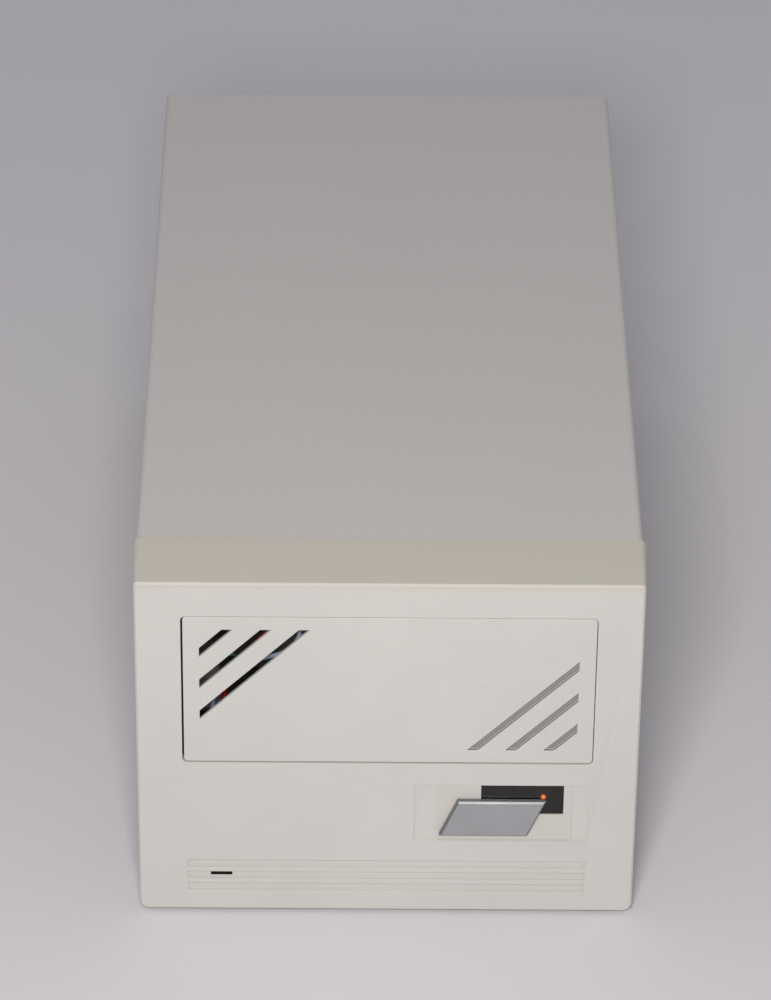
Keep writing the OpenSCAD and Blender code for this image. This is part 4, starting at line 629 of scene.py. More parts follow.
def islands(node):
    """Lowest and highest corner of each separate solid in a node."""
    work = merged(node)
    waiting = set(work.verts)
    found = []
    while waiting:
        group = [waiting.pop()]
        for vert in group:
            for edge in vert.link_edges:
                other = edge.other_vert(vert)
                if other in waiting:
                    waiting.remove(other)
                    group.append(other)
        corners = [vert.co.copy() for vert in group]
        found.append((Vector([min(c[k] for c in corners) for k in range(3)]),
                      Vector([max(c[k] for c in corners) for k in range(3)])))
    work.free()
    return sorted(found, key=lambda box: tuple(box[0]))


def turned(name, profile, steps=32):
    """A solid of revolution round Z, from (radius, height) pairs in metres that start and end at 0."""
    verts, faces, rings = [], [], []
    for radius, height in profile:
        if radius == 0:
            rings.append([len(verts)])
            verts.append((0, 0, height))
        else:
            rings.append(list(range(len(verts), len(verts) + steps)))
            for k in range(steps):
                turn = 2 * math.pi * k / steps
                verts.append((radius * math.cos(turn), radius * math.sin(turn), height))
    for low, high in zip(rings, rings[1:]):
        for k in range(steps):
            after = (k + 1) % steps
            corners = (low[k % len(low)], low[after % len(low)],
                       high[after % len(high)], high[k % len(high)])
            faces.append(list(dict.fromkeys(corners)))
    mesh = bpy.data.meshes.new(name)
    mesh.from_pydata(verts, [], faces)
    sharp_edges(mesh)
    return placed_object(name, mesh)


def block(name, low, high, width, *materials):
    """A moulded block with rounded edges."""
    mesh = bpy.data.meshes.new(name)
    work = bmesh.new()
    bmesh.ops.create_cube(work, size=1.0)
    size = high - low
    for vert in work.verts:
        vert.co = Vector([low[k] + (vert.co[k] + 0.5) * size[k] for k in range(3)])
    work.to_mesh(mesh)
    work.free()
    for material in materials:
        mesh.materials.append(material)
    return rounded(placed_object(name, mesh), width)


def points_mesh(name, places):
    mesh = bpy.data.meshes.new(name)
    mesh.from_pydata([tuple(place) for place in places], [], [])
    return mesh


def path_mesh(name, places):
    mesh = bpy.data.meshes.new(name)
    mesh.from_pydata([tuple(p) for p in places], [(k, k + 1) for k in range(len(places) - 1)], [])
    return mesh


# Geometry trees

def geometry_tree(name, *inputs):
    """Start a geometry tree with named inputs, each a (name, socket kind, default)."""
    tree = bpy.data.node_groups.new(name, "GeometryNodeTree")
    tree.interface.new_socket("Geometry", in_out="OUTPUT", socket_type="NodeSocketGeometry")
    tree.interface.new_socket("Geometry", in_out="INPUT", socket_type="NodeSocketGeometry")
    for label, kind, default in inputs + (("Finish", "Material", None),):
        socket = tree.interface.new_socket(label, in_out="INPUT", socket_type="NodeSocket" + kind)
        if default is not None:
            socket.default_value = default
    return tree, add(tree, "NodeGroupInput").outputs


def shaped(tree, kind, inputs=None, **settings):
    """The first result of a geometry node."""
    return add(tree, "GeometryNode" + kind, inputs, **settings).outputs[0]


def shape_of(tree, given):
    """The shape of an object that is given to the tree."""
    return add(tree, "GeometryNodeObjectInfo", {"Object": given}).outputs["Geometry"]


def copied(tree, points, shape, **inputs):
    """A copy of a shape at each point."""
    return shaped(tree, "InstanceOnPoints", {"Points": points, "Instance": shape, **inputs})


def joined(tree, *parts):
    return shaped(tree, "JoinGeometry", {"Geometry": list(parts)})


def circle(tree, sides, radius):
    return shaped(tree, "CurvePrimitiveCircle", {"Resolution": sides, "Radius": radius})


def round_section(tree, sides, diameter):
    return circle(tree, sides, maths(tree, "MULTIPLY", diameter, 0.5))


def swept(tree, path, section, **inputs):
    return shaped(tree, "CurveToMesh", {"Curve": path, "Profile Curve": section, **inputs})


def vector_of(tree, **parts):
    return add(tree, "ShaderNodeCombineXYZ", parts).outputs[0]


def close_tree(tree, given, geometry):
    """End a geometry tree: real copies with their finish, moved to their centre if one is given."""
    if "Centre" in given:
        geometry = shaped(tree, "Transform", {"Geometry": geometry, "Translation": given["Centre"]})
    real = shaped(tree, "RealizeInstances", {"Geometry": geometry})
    done = shaped(tree, "SetMaterial", {"Geometry": real, "Material": given["Finish"]})
    add(tree, "NodeGroupOutput", {"Geometry": done})
    return tree


def grown(name, mesh, tree, values):
    """Run a geometry tree on a mesh and keep the result as a plain mesh piece."""
    piece = placed_object(name, mesh)
    modifier = piece.modifiers.new(tree.name, "NODES")
    modifier.node_group = tree
    for socket in tree.interface.items_tree:
        if socket.in_out == "INPUT" and socket.name in values:
            modifier[socket.identifier] = values[socket.name]
    return settled(piece)


def copies_tree():
    """One copy of a shape at each point, its Z axis along a direction, each turned at random."""
    tree, given = geometry_tree(
        "copies_at_points", ("Shape", "Object", None), ("Direction", "Vector", (0, 0, 1)),
        ("Largest Turn", "Float", 0.0), ("Seed", "Int", SEED))
    shape = shape_of(tree, given["Shape"])
    aimed = add(tree, "FunctionNodeAlignRotationToVector", {"Vector": given["Direction"]}, axis="Z")
    chance = add(tree, "FunctionNodeRandomValue", {
        2: 0.0, 3: given["Largest Turn"], "Seed": given["Seed"]}, data_type="FLOAT").outputs[1]
    spun = add(tree, "FunctionNodeAxisAngleToRotation", {"Axis": (0, 0, 1), "Angle": chance})
    rotation = add(tree, "FunctionNodeRotateRotation", {
        "Rotation": aimed.outputs[0], "Rotate By": spun.outputs[0]}, rotation_space="LOCAL")
    return close_tree(tree, given, copied(tree, given["Geometry"], shape, Rotation=rotation.outputs[0]))


def lead_tree():
    """A round lead swept along a path of points on one smooth curve."""
    tree, given = geometry_tree(
        "swept_lead", ("Diameter", "Float", 1.0 * MM), ("Steps", "Int", 6), ("Sides", "Int", 14))
    path = shaped(tree, "MeshToCurve", {"Mesh": given["Geometry"]})
    smooth = shaped(tree, "CurveSplineType", {"Curve": path}, spline_type="CATMULL_ROM")
    fine = shaped(tree, "SetSplineResolution", {"Geometry": smooth, "Resolution": given["Steps"]})
    section = round_section(tree, given["Sides"], given["Diameter"])
    return close_tree(tree, given, swept(tree, fine, section, **{"Fill Caps": True}))


def contact_tree():
    """Two facing rows of contacts, centred on a point, at an even pitch along X."""
    tree, given = geometry_tree(
        "rows_of_contacts", ("Contact", "Object", None), ("Count", "Int", 25),
        ("Pitch", "Float", 2.16 * MM), ("Row Gap", "Float", 5.0 * MM), ("Centre", "Vector", (0, 0, 0)))
    shape = shape_of(tree, given["Contact"])
    run = maths(tree, "MULTIPLY", maths(tree, "SUBTRACT", given["Count"], 1.0), given["Pitch"])
    first = maths(tree, "MULTIPLY", run, -0.5)
    rows = []
    for side in (-0.5, 0.5):
        lift = maths(tree, "MULTIPLY", given["Row Gap"], side)
        rows.append(shaped(tree, "MeshLine", {
            "Count": given["Count"], "Start Location": vector_of(tree, X=first, Z=lift),
            "Offset": vector_of(tree, X=given["Pitch"])}))
    return close_tree(tree, given, copied(tree, joined(tree, *rows), shape))


def ring_of(tree, shape, how_many, axis):
    """Instances of a shape, evenly turned about an axis through the origin."""
    line = shaped(tree, "MeshLine", {"Count": how_many, "Offset": (0, 0, 0)})
    index = shaped(tree, "InputIndex")
    angle = maths(tree, "MULTIPLY", maths(tree, "DIVIDE", index, how_many), 2 * math.pi)
    spun = add(tree, "FunctionNodeAxisAngleToRotation", {"Axis": axis, "Angle": angle}).outputs[0]
    return copied(tree, line, shape, Rotation=spun)


def rotor_tree():
    """A fan rotor: evenly turned blades round a hub on the Y axis."""
    tree, given = geometry_tree(
        "bladed_rotor", ("Hub", "Object", None), ("Blades", "Int", 7), ("Centre", "Vector", (0, 0, 0)))
    blades = ring_of(tree, given["Geometry"], given["Blades"], (0, 1, 0))
    return close_tree(tree, given, joined(tree, blades, shape_of(tree, given["Hub"])))


def choke_tree():
    """A wound ring: turns of wire round a ring core that lies flat."""
    tree, given = geometry_tree(
        "wound_ring", ("Turns", "Int", 40), ("Ring Radius", "Float", 9 * MM),
        ("Section Radius", "Float", 3.4 * MM), ("Wire", "Float", 1.1 * MM), ("Centre", "Vector", (0, 0, 0)))
    turn = circle(tree, 20, given["Section Radius"])
    stood = shaped(tree, "Transform", {
        "Geometry": turn, "Translation": vector_of(tree, X=given["Ring Radius"]),
        "Rotation": (math.pi / 2, 0, 0)})
    ring = ring_of(tree, stood, given["Turns"], (0, 0, 1))
    real = shaped(tree, "RealizeInstances", {"Geometry": ring})
    wound = swept(tree, real, round_section(tree, 8, given["Wire"]))
    core = swept(tree, circle(tree, 48, given["Ring Radius"]), turn)
    return close_tree(tree, given, joined(tree, wound, core))


def ribbon_tree():
    """A flat ribbon: round conductors side by side along a path, joined by a thin web."""
    tree, given = geometry_tree(
        "ribbon_cable", ("Width", "Float", 63.5 * MM), ("Conductors", "Int", 50),
        ("Wire", "Float", 0.9 * MM), ("Web", "Float", 0.35 * MM))
    path = shaped(tree, "MeshToCurve", {"Mesh": given["Geometry"]})
    pitch = maths(tree, "DIVIDE", given["Width"], given["Conductors"])
    run = maths(tree, "SUBTRACT", given["Width"], pitch)
    first = maths(tree, "MULTIPLY", run, -0.5)
    line = shaped(tree, "MeshLine", {
        "Count": given["Conductors"], "Start Location": vector_of(tree, X=first),
        "Offset": vector_of(tree, X=pitch)})
    real = shaped(tree, "RealizeInstances", {"Geometry": copied(tree, line, path)})
    tubes = swept(tree, real, round_section(tree, 8, given["Wire"]), **{"Fill Caps": True})
    level = shaped(tree, "SetCurveNormal", {"Curve": path, "Normal": (1, 0, 0)}, mode="FREE")
    flat = shaped(tree, "CurvePrimitiveQuadrilateral", {"Width": run, "Height": given["Web"]})
    web = swept(tree, level, flat, **{"Fill Caps": True})
    return close_tree(tree, given, joined(tree, tubes, web))


# Settings

class BezelSettings(bpy.types.PropertyGroup):
    """Front bezel and bay blank"""
    plastic: colour("Plastic", "#CBC9C4", "Colour of the moulded front")
    yellowed: colour("Yellowed Plastic", "#C4BEB3", "Colour of the plastic where it has aged most")
    yellow_from: length("Ageing Starts", 99.5, "Height where the plastic starts to yellow")
    yellow_full: length("Ageing Full", 102.4, "Height where the plastic has fully yellowed")
    dust: colour("Slot Dust", "#8E8C89", "Colour of the dust in the blank's closed slots")
    soot: colour("Slit Dust", "#2C2927", "Colour of the dust in the slit")
    edge: length("Edge Radius", 0.22, "Rounding of the moulded edges")
    blank_share: number("Blank's Share", 0.6, "Share of the edge radius that the blank has", min=0)


class LabelSettings(bpy.types.PropertyGroup):
    """Film, window and plate in the label panel"""
    film: colour("Film", "#CAC6C1", "Colour of the label film")
    window: colour("Window", "#1B1617", "Colour of the smoked window")
    plate: colour("Plate", "#A9AAAD", "Colour of the slanted plate")
    edge: length("Edge Radius", 0.12, "Rounding of the edges")


class CaseSettings(bpy.types.PropertyGroup):
    """Cover, chassis, tray and feet"""
    paint: colour("Paint", "#C6C2C0", "Colour of the painted cover")
    edge: length("Edge Radius", 0.15, "Rounding of the sheet metal's edges")
    foot_edge: length("Foot Edge Radius", 0.3, "Rounding of the rubber feet")


class ScrewSettings(bpy.types.PropertyGroup):
    """All the screws"""
    dome: number("Dome", 0.62, "Share of the head's height that is domed", min=0, max=1)
    cross: number("Cross", 0.62, "Length of the cross recess as a share of the head", min=0.2, max=0.9)
    thread_pitch: length("Thread Pitch", 0.5, "Distance between the threads")
    thread_depth: length("Thread Depth", 0.2, "Depth of the threads")


class LampSettings(bpy.types.PropertyGroup):
    """Indicator board, its lamps and their wires"""
    lit: colour("Lit Lamp", "#FF9550", "Colour of the lamp that glows")
    unlit: colour("Unlit Lamp", "#3F8F4A", "Colour of the lamp that is dark")
    glow: number("Glow", 420.0, "Strength of the lit lamp", min=0)
    die_depth: length("Die Depth", 0.5, "Distance from the lamp's tip to its die")
    die_lift: length("Die Height", 1.1, "Height of the die above the lamp's axis")
    wire: length("Wire Diameter", 1.2, "Outside diameter of the lamp wires")


class DriveSettings(bpy.types.PropertyGroup):
    """The drive and its parts"""
    mask: colour("Board", "#2C5B3E", "Solder mask of the drive's board")
    edge: length("Casting Edge Radius", 0.35, "Rounding of the casting's edges")
    lead_pitch: length("Lead Pitch", 1.27, "Distance between the leads of a chip")


class SupplySettings(bpy.types.PropertyGroup):
    """Power supply"""
    board: colour("Board", "#A98A55", "Colour of the supply's board")
    sleeve: colour("Sleeve", "#27315A", "Colour of the capacitors' sleeves")
    turns: count("Choke Turns", 40, "Turns of wire on the choke")
    choke_wire: length("Choke Wire", 1.1, "Diameter of the choke's wire")


class FanSettings(bpy.types.PropertyGroup):
    """Fan"""
    blades: count("Blades", 7, "Number of blades")
    chord: length("Chord", 14.0, "Width of a blade")
    pitch_angle: FloatProperty(name="Pitch Angle", description="Slope of the blades",
                               default=math.radians(42), subtype="ANGLE")
    camber: length("Camber", 1.1, "How far a blade bows out")
    thickness: length("Thickness", 1.0, "Thickness of a blade")


class RearSettings(bpy.types.PropertyGroup):
    """Inlet, switches and connectors on the rear panel"""
    nylon: colour("Nylon", "#1D1D1F", "Colour of the black mouldings")
    insert: colour("Inserts", "#2B3C74", "Colour of the connectors' inserts")
    wheel: colour("Number Wheel", "#E4E1D8", "Colour of the number wheel")
    mark: length("Mark Height", 3.4, "Height of the marks on the rocker")
    digit: length("Digit Height", 2.7, "Height of the digits on the wheel")
    contacts: count("Contacts per Row", 25, "Contacts in each row of a connector")
    row_gap: length("Row Gap", 4.9, "Distance between the two rows of contacts")


class WiringSettings(bpy.types.PropertyGroup):
    """Ribbon cable and leads"""
    ribbon: colour("Ribbon", "#A3A5A8", "Colour of the ribbon cable")
    ribbon_width: length("Ribbon Width", 63.5, "Width of the ribbon cable")
    conductors: count("Conductors", 50, "Conductors in the ribbon cable")
    plug_depth: length("Power Plug Depth", 10, "Depth of the drive's power plug")
    lead: length("Lead Diameter", 1.8, "Outside diameter of the drive's power wires")
    mains: length("Mains Diameter", 2.4, "Outside diameter of the mains wires")
    fan: length("Fan Wire Diameter", 1.2, "Outside diameter of the fan's wires")


class StageSettings(bpy.types.PropertyGroup):
    """Floor, lights and camera"""
    floor: colour("Floor", "#DAD6DA", "Colour of the floor")
    floor_size: length("Floor Size", 6000, "Width of the floor")
    key: FloatProperty(name="Key Light", description="Power of the key light", default=4.5, unit="POWER")
    key_size: length("Key Size", 170, "Width of the key light")
    key_tint: colour("Key Tint", "#FFFCF8", "Colour of the key light")
    sky_tint: colour("Surrounding Tint", "#EEF0F4", "Colour of the even light all round")
    sky: number("Surrounding Light", 0.44, "Strength of the even light all round", min=0)
    lens: number("Focal Length", 179.45, "Focal length on a 36 mm frame, in millimetres", min=1)
    camera: FloatVectorProperty(
        name="Camera", description="Place of the camera", subtype="TRANSLATION",
        default=(-10.3 * MM, -1123.64 * MM, 798.0 * MM))


# Pieces

def lead(name, route, tree, width, jacket):
    """A round lead along a route in millimetres behind the face."""
    places = [behind(*place) for place in route]
    return grown(name, path_mesh("lead", places), tree, {"Diameter": width, "Finish": jacket})


def marking(name, text, height, matrix, material):
    """A printed mark of one character, laid on a surface by its matrix."""
    curve = bpy.data.curves.new(name, "FONT")
    curve.body = text
    curve.size = height / CAPITAL
    curve.align_x = "CENTER"
    curve.align_y = "CENTER"
    curve.extrude = INK * MM
    curve.resolution_u = 4
    letter = placed_object(name, curve)
    mesh = evaluated(letter)
    discard(letter)
    mesh.transform(matrix)
    mesh.materials.append(material)
    return placed_object(name, mesh)


class Step:
    """One step of the work: it reads its own group of settings and makes its pieces."""

    def execute(self, context):
        self.make(getattr(context.scene, self.group))
        return {"FINISHED"}


class ENCLOSURE_OT_bezel(Step, bpy.types.Operator):
    """Finish the moulded bezel and the vented blank in its bay"""
    bl_idname = "enclosure.bezel"
    bl_label = "Bezel"
    group = "enclosure_bezel"

    def make(self, settings):
        plastic = moulded_abs("moulded_abs", settings, dust=settings.soot, box=SLIT_BOX)
        rubbed = moulded_abs("moulded_abs_rubbed", settings, rubbed=True)
        dusty = moulded_abs("moulded_abs_blank", settings, dust=settings.dust, box=SLOT_BOX)
        dress("front_bezel", settings.edge, "case", "bezel_plastic", plastic, rubbed)
        dress("bay_blank", settings.edge * settings.blank_share, "case", "blank_plastic", dusty, rubbed)


class ENCLOSURE_OT_label(Step, bpy.types.Operator):
    """Finish the label film, the smoked window and the slanted plate"""
    bl_idname = "enclosure.label"
    bl_label = "Label Panel"
    group = "enclosure_label"

    def make(self, settings):
        dress("label_film", settings.edge / 4, "case", "label_film", printed_film(settings.film))
        dress("indicator_window", settings.edge, "case", "smoked_plastic", smoked_acrylic(settings.window))
        dress("name_plate", settings.edge, "case", "silver_plate", satin_plate(settings.plate))


class ENCLOSURE_OT_case(Step, bpy.types.Operator):
    """Finish the painted cover, the plated chassis and tray, and the rubber feet"""
    bl_idname = "enclosure.case"
    bl_label = "Case"
    group = "enclosure_case"

    def make(self, settings):
        zinc = zinc_plate()
        dress("cover", settings.edge, "case", "cover_paint", baked_paint("baked_paint", settings.paint),
              baked_paint("baked_paint_rubbed", settings.paint, rubbed=True))
        dress("chassis", settings.edge, "case", "zinc_steel", zinc)
        dress("drive_tray", settings.edge, "case", "zinc_steel", zinc)
        dress("rubber_feet", settings.foot_edge, "case", "foot_rubber", plain("moulded_rubber"))


class ENCLOSURE_OT_screws(Step, bpy.types.Operator):
    """Set a domed, cross-recessed screw at each screw's place"""
    bl_idname = "enclosure.screws"
    bl_label = "Screws"
    group = "enclosure_screws"

    def outline(self, settings, head, height, shank, reach):
        """Half of a screw's outline: its seat is at the origin and its head rises along Z."""
        core = shank / 2 - settings.thread_depth
        turns = max(1, int(reach / settings.thread_pitch))
        threads = []
        for k in range(turns):
            low = -reach + k * reach / turns
            threads += [(core, low), (shank / 2, low + reach / turns / 2)]
        brim = height * (1 - settings.dome)
        dome = [(head / 2 * math.cos(angle), brim + height * settings.dome * math.sin(angle))
                for angle in DOME_STEPS]
        return [(0, -reach)] + threads + [(core, 0), (head / 2, 0)] + dome + [(0, height)]

    def shape(self, settings, head, height, shank, reach):
        """One screw with a cross cut into its head."""
        screw = turned("screw", self.outline(settings, head, height, shank, reach), steps=24)
        width = head * CROSS_WIDTH
        long = head * settings.cross
        floor = height * CROSS_FLOOR
        cutters = []
        for turn in (0, math.pi / 2):
            cutter = block("cutter", Vector((-long / 2, -width / 2, floor)),
                           Vector((long / 2, width / 2, height * 2)), width * 0.2)
            cutter.data.transform(Matrix.Rotation(turn, 4, "Z"))
            carve = screw.modifiers.new("cross", "BOOLEAN")
            carve.operation = "DIFFERENCE"
            carve.object = cutter
            cutters.append(cutter)
        settled(screw)
        discard(*cutters)
        sharp_edges(screw.data)
        return screw

    def reaches(self, screws):
        """The seats of a set's screws in lists, one for each length of shank."""
        aim = Vector(screws.direction)
        axis = max(range(3), key=lambda k: abs(aim[k]))
        found = {}
        for low, high in islands(screws.node):
            seat = (low + high) / 2
            top = high[axis] if aim[axis] > 0 else low[axis]
            seat[axis] = top - aim[axis] * screws.height * MM
            found.setdefault(round(high[axis] - low[axis] - screws.height * MM, 5), []).append(seat)
        return found

    def make(self, settings):
        steel = plain("nickel_plated_steel")
        tree = copies_tree()
        for screws in SCREW_SETS:
            pieces = []
            for reach, seats in self.reaches(screws).items():
                shape = self.shape(settings, screws.head * MM, screws.height * MM, screws.shank * MM, reach)
                pieces.append(grown("finished_" + screws.node, points_mesh(screws.node, seats), tree, {
                    "Shape": shape, "Direction": screws.direction, "Largest Turn": math.pi,
                    "Finish": steel}))
                discard(shape)
            for piece in pieces:
                fitted(piece, "case", "steel", screws.node)


class ENCLOSURE_OT_indicators(Step, bpy.types.Operator):
    """Finish the indicator board, its two lamps and their wires"""
    bl_idname = "enclosure.indicators"
    bl_label = "Indicators"
    group = "enclosure_lamps"

    def make(self, settings):
        dress("indicator_board", 0.05 * MM, "case", "board_green",
              circuit_board("glass_epoxy_board_small", linear("#2F6A45"), linear("#5E9A62")))
        low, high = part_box("activity_lamp")
        die = ((low.x + high.x) / 2, low.y + settings.die_depth, (low.z + high.z) / 2 + settings.die_lift)
        surfaced("activity_lamp", lamp_epoxy("amber_epoxy_lit", settings.lit, settings.glow, die))
        surfaced("power_lamp", lamp_epoxy("green_epoxy", settings.unlit))
        tree = lead_tree()
        for node, slot, tone, route in LAMP_ROUTES:
            jacket = wire_jacket(node + "_pvc", linear(tone))
            fitted(lead("finished_" + node, route, tree, settings.wire, jacket), "case", slot, node)


class ENCLOSURE_OT_drive(Step, bpy.types.Operator):
    """Finish the drive: casting, lid, board, chips, sockets, platters, arm and magnet"""
    bl_idname = "enclosure.drive"
    bl_label = "Drive"
    group = "enclosure_drive"

    def make(self, settings):
        cast = plain("die_cast_aluminium")
        steel = plain("nickel_plated_steel")
        black = moulded_nylon("black_chip_epoxy", linear("#232325"))
        dress("drive_base", settings.edge, "case", "cast_metal", cast)
        dress_all(
            ("drive_lid", 0.15, "case", "steel", stamped_lid()),
            ("drive_board", 0.05, "case", "board_green",
             circuit_board("glass_epoxy_board", settings.mask, linear("#4C8A5A"))),
            ("drive_chips", 0.2, "case", "black_plastic", black),
            ("drive_data_socket", 0.15, "case", "black_plastic", black),
            ("drive_power_socket", 0.2, "case", "cream_plastic",
             moulded_nylon("cream_nylon", linear("#DDD4BC"))),
            ("platters", 0.1, "platter_stack", "platter_metal", plain("lapped_plated_disk")),
            ("spindle_hub", 0.25, "platter_stack", "steel", steel),
            ("head_arm", 0.15, "arm", "cast_metal", cast),
            ("coil_magnet", 0.2, "case", "steel", steel))
        self.chip_leads(settings)

    def chip_leads(self, settings):
        """Two rows of short leads at the foot of each chip."""
        pitch = settings.lead_pitch
        shape = block("chip_lead", Vector((-0.25, -0.5, 0)) * MM, Vector((0.25, 0.5, 0.5)) * MM, 0.06 * MM)
        places = []
        for low, high in islands("drive_chips"):
            in_row = int((high.x - low.x) / pitch) - 1
            start = (low.x + high.x) / 2 - (in_row - 1) * pitch / 2
            for k in range(in_row):
                for side in (low.y - 0.4 * MM, high.y + 0.4 * MM):
                    places.append(Vector((start + k * pitch, side, low.z)))
        rows = grown("chip_leads", points_mesh("chip_leads", places), copies_tree(),
                     {"Shape": shape, "Finish": plain("tinned_spring_wire")})
        discard(shape)
        fitted(rows, "case", "steel")


class ENCLOSURE_OT_supply(Step, bpy.types.Operator):
    """Finish the power supply: board, transformer, capacitors, sinks, choke and headers"""
    bl_idname = "enclosure.supply"
    bl_label = "Power Supply"
    group = "enclosure_supply"

    def can(self, name, low, high):
        """A sleeved can with a crimp groove near its foot and a rounded shoulder."""
        radius = (high.x - low.x) / 2
        height = high.z - low.z
        foot = ((0.4, 0), (0, 0.4), (0, 2.2), (0.5, 2.7), (0.5, 3.1), (0, 3.6))
        shoulder = ((0, 1.0), (0.3, 0.3), (1.0, 0), (1.6, 0.15), (1.9, 0.5))
        profile = [(radius - inset * MM, lift * MM) for inset, lift in foot]
        profile += [(radius - inset * MM, height - drop * MM) for inset, drop in shoulder]
        return turned(name, [(0, 0)] + profile + [(0, height - 0.5 * MM)], steps=40)

    def can_top(self, name, middle, top, radius):
        """The bare disc in a can's top, stepped down in its middle."""
        rim, edge = radius - 1.9 * MM, radius - 1.95 * MM
        disc = turned(name, [
            (0, -0.6 * MM), (rim, -0.6 * MM), (edge, -0.35 * MM),
            (radius * 0.5, -0.3 * MM), (radius * 0.46, -0.42 * MM), (0, -0.42 * MM)])
        disc.data.transform(Matrix.Translation((middle.x, middle.y, top)))
        disc.data.materials.append(plain("anodised_extrusion"))
        fitted(disc, "case", "heat_sink")

    def make(self, settings):
        dress_all(
            ("supply_board", 0.05, "case", "board_tan",
             circuit_board("paper_phenolic_board", settings.board, linear("#8C6E3C"))),
            ("supply_standoffs", 0.1, "case", "steel", plain("nickel_plated_steel")),
            ("supply_transformer", 0.4, "case", "transformer_tape", winding_tape()),
            ("supply_heat_sinks", 0.12, "case", "heat_sink", plain("anodised_extrusion")),
            ("supply_headers", 0.2, "case", "cream_plastic",
             moulded_nylon("cream_nylon_headers", linear("#E2DCC8"))))
        tree = copies_tree()
        tops = []
        for node in ("mains_capacitor", "output_capacitors"):
            boxes = islands(node)
            can = self.can(node, *boxes[0])
            feet = [Vector(((low.x + high.x) / 2, (low.y + high.y) / 2, low.z)) for low, high in boxes]
            cans = grown("finished_" + node, points_mesh(node, feet), tree, {
                "Shape": can, "Finish": shrunk_sleeve(settings.sleeve)})
            discard(can)
            fitted(cans, "case", "capacitor_sleeve", node)
            tops += [((low + high) / 2, high.z, (high.x - low.x) / 2) for low, high in boxes]
        for k, top in enumerate(tops):
            self.can_top(f"can_top_{k}", *top)
        low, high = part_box("filter_choke")
        ring = grown("finished_filter_choke", points_mesh("filter_choke", [(0, 0, 0)]), choke_tree(), {
            "Turns": settings.turns, "Wire": settings.choke_wire,
            "Ring Radius": (high.x - low.x) / 2 - (high.z - low.z) / 2,
            "Section Radius": (high.z - low.z - settings.choke_wire) / 2,
            "Centre": tuple((low + high) / 2), "Finish": enamelled_copper()})
        fitted(ring, "case", "copper_winding", "filter_choke")


class ENCLOSURE_OT_fan(Step, bpy.types.Operator):
    """Finish the fan: frame, guard and a rotor with curved blades"""
    bl_idname = "enclosure.fan"
    bl_label = "Fan"
    group = "enclosure_fan"

    def blade(self, settings, inner, outer):
        """One curved blade that reaches out along X; its chord winds round the Y axis."""
        across, along = 10, 7
        verts, faces = [], []
        for i in range(along + 1):
            radius = inner + (outer - inner) * i / along
            taper = 1 - BLADE_TAPER * (i / along - 0.5) ** 2
            for k in range(across + 1):
                share = k / across - 0.5
                swing = share * settings.chord * taper * math.cos(settings.pitch_angle) / radius
                rise = share * settings.chord * taper * math.sin(settings.pitch_angle)
                bow = settings.camber * (1 - 4 * share * share)
                verts.append((radius * math.cos(swing), rise + bow, -radius * math.sin(swing)))
        for i in range(along):
            for k in range(across):
                a = i * (across + 1) + k
                faces.append((a, a + 1, a + across + 2, a + across + 1))
        mesh = bpy.data.meshes.new("blade")
        mesh.from_pydata(verts, [], faces)
        blade = placed_object("blade", mesh)
        wall = blade.modifiers.new("wall", "SOLIDIFY")
        wall.thickness = settings.thickness
        wall.offset = 0
        settled(blade)
        return rounded(blade, settings.thickness * 0.3)

    def hub(self, radius, front, back, rear):
        """The hub and the shaft that sticks out in front of it, along Y round the middle of the hub."""
        height = rear - back
        hub = turned("hub", [
            (0, 0), (radius - 0.3 * MM, 0), (radius, 0.3 * MM), (radius, height - 1.0 * MM),
            (radius - 0.3 * MM, height - 0.3 * MM), (radius - 1.0 * MM, height), (radius * 0.62, height),
            (radius * 0.58, height - 0.3 * MM), (0, height - 0.3 * MM)], steps=48)
        shaft = turned("shaft", [(0, 0), (SHAFT_RADIUS * MM, 0), (SHAFT_RADIUS * MM, SHAFT_LENGTH * MM),
                                 (0, SHAFT_LENGTH * MM)], steps=20)
        work = bmesh.new()
        for half, start in ((hub, back), (shaft, front)):
            half.data.transform(Matrix.Translation((0, start, 0)) @ Matrix.Rotation(-math.pi / 2, 4, "X"))
            half.data.transform(Matrix.Translation((0, -(back + rear) / 2, 0)))
            work.from_mesh(half.data)
        work.to_mesh(hub.data)
        work.free()
        sharp_edges(hub.data)
        discard(shaft)
        return hub

    def make(self, settings):
        nylon = moulded_nylon("glass_filled_nylon_fan", linear("#1B1B1D"))
        dress("fan_frame", 0.3 * MM, "case", "black_plastic", nylon)
        surfaced("fan_guard", plain("tinned_spring_wire"))
        low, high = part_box("fan_rotor")
        middle = (low + high) / 2
        radius, back = HUB_RADIUS * MM, low.y + HUB_SETBACK * MM
        hub = self.hub(radius, low.y, back, high.y)
        blade = self.blade(settings, radius - 0.6 * MM, (high.x - low.x) / 2 - 0.1 * MM)
        rotor = grown("finished_fan_rotor", blade.data.copy(), rotor_tree(), {
            "Hub": hub, "Blades": settings.blades, "Centre": (middle.x, (back + high.y) / 2, middle.z),
            "Finish": nylon})
        discard(hub, blade)
        fitted(rotor, "fan", "black_plastic", "fan_rotor")


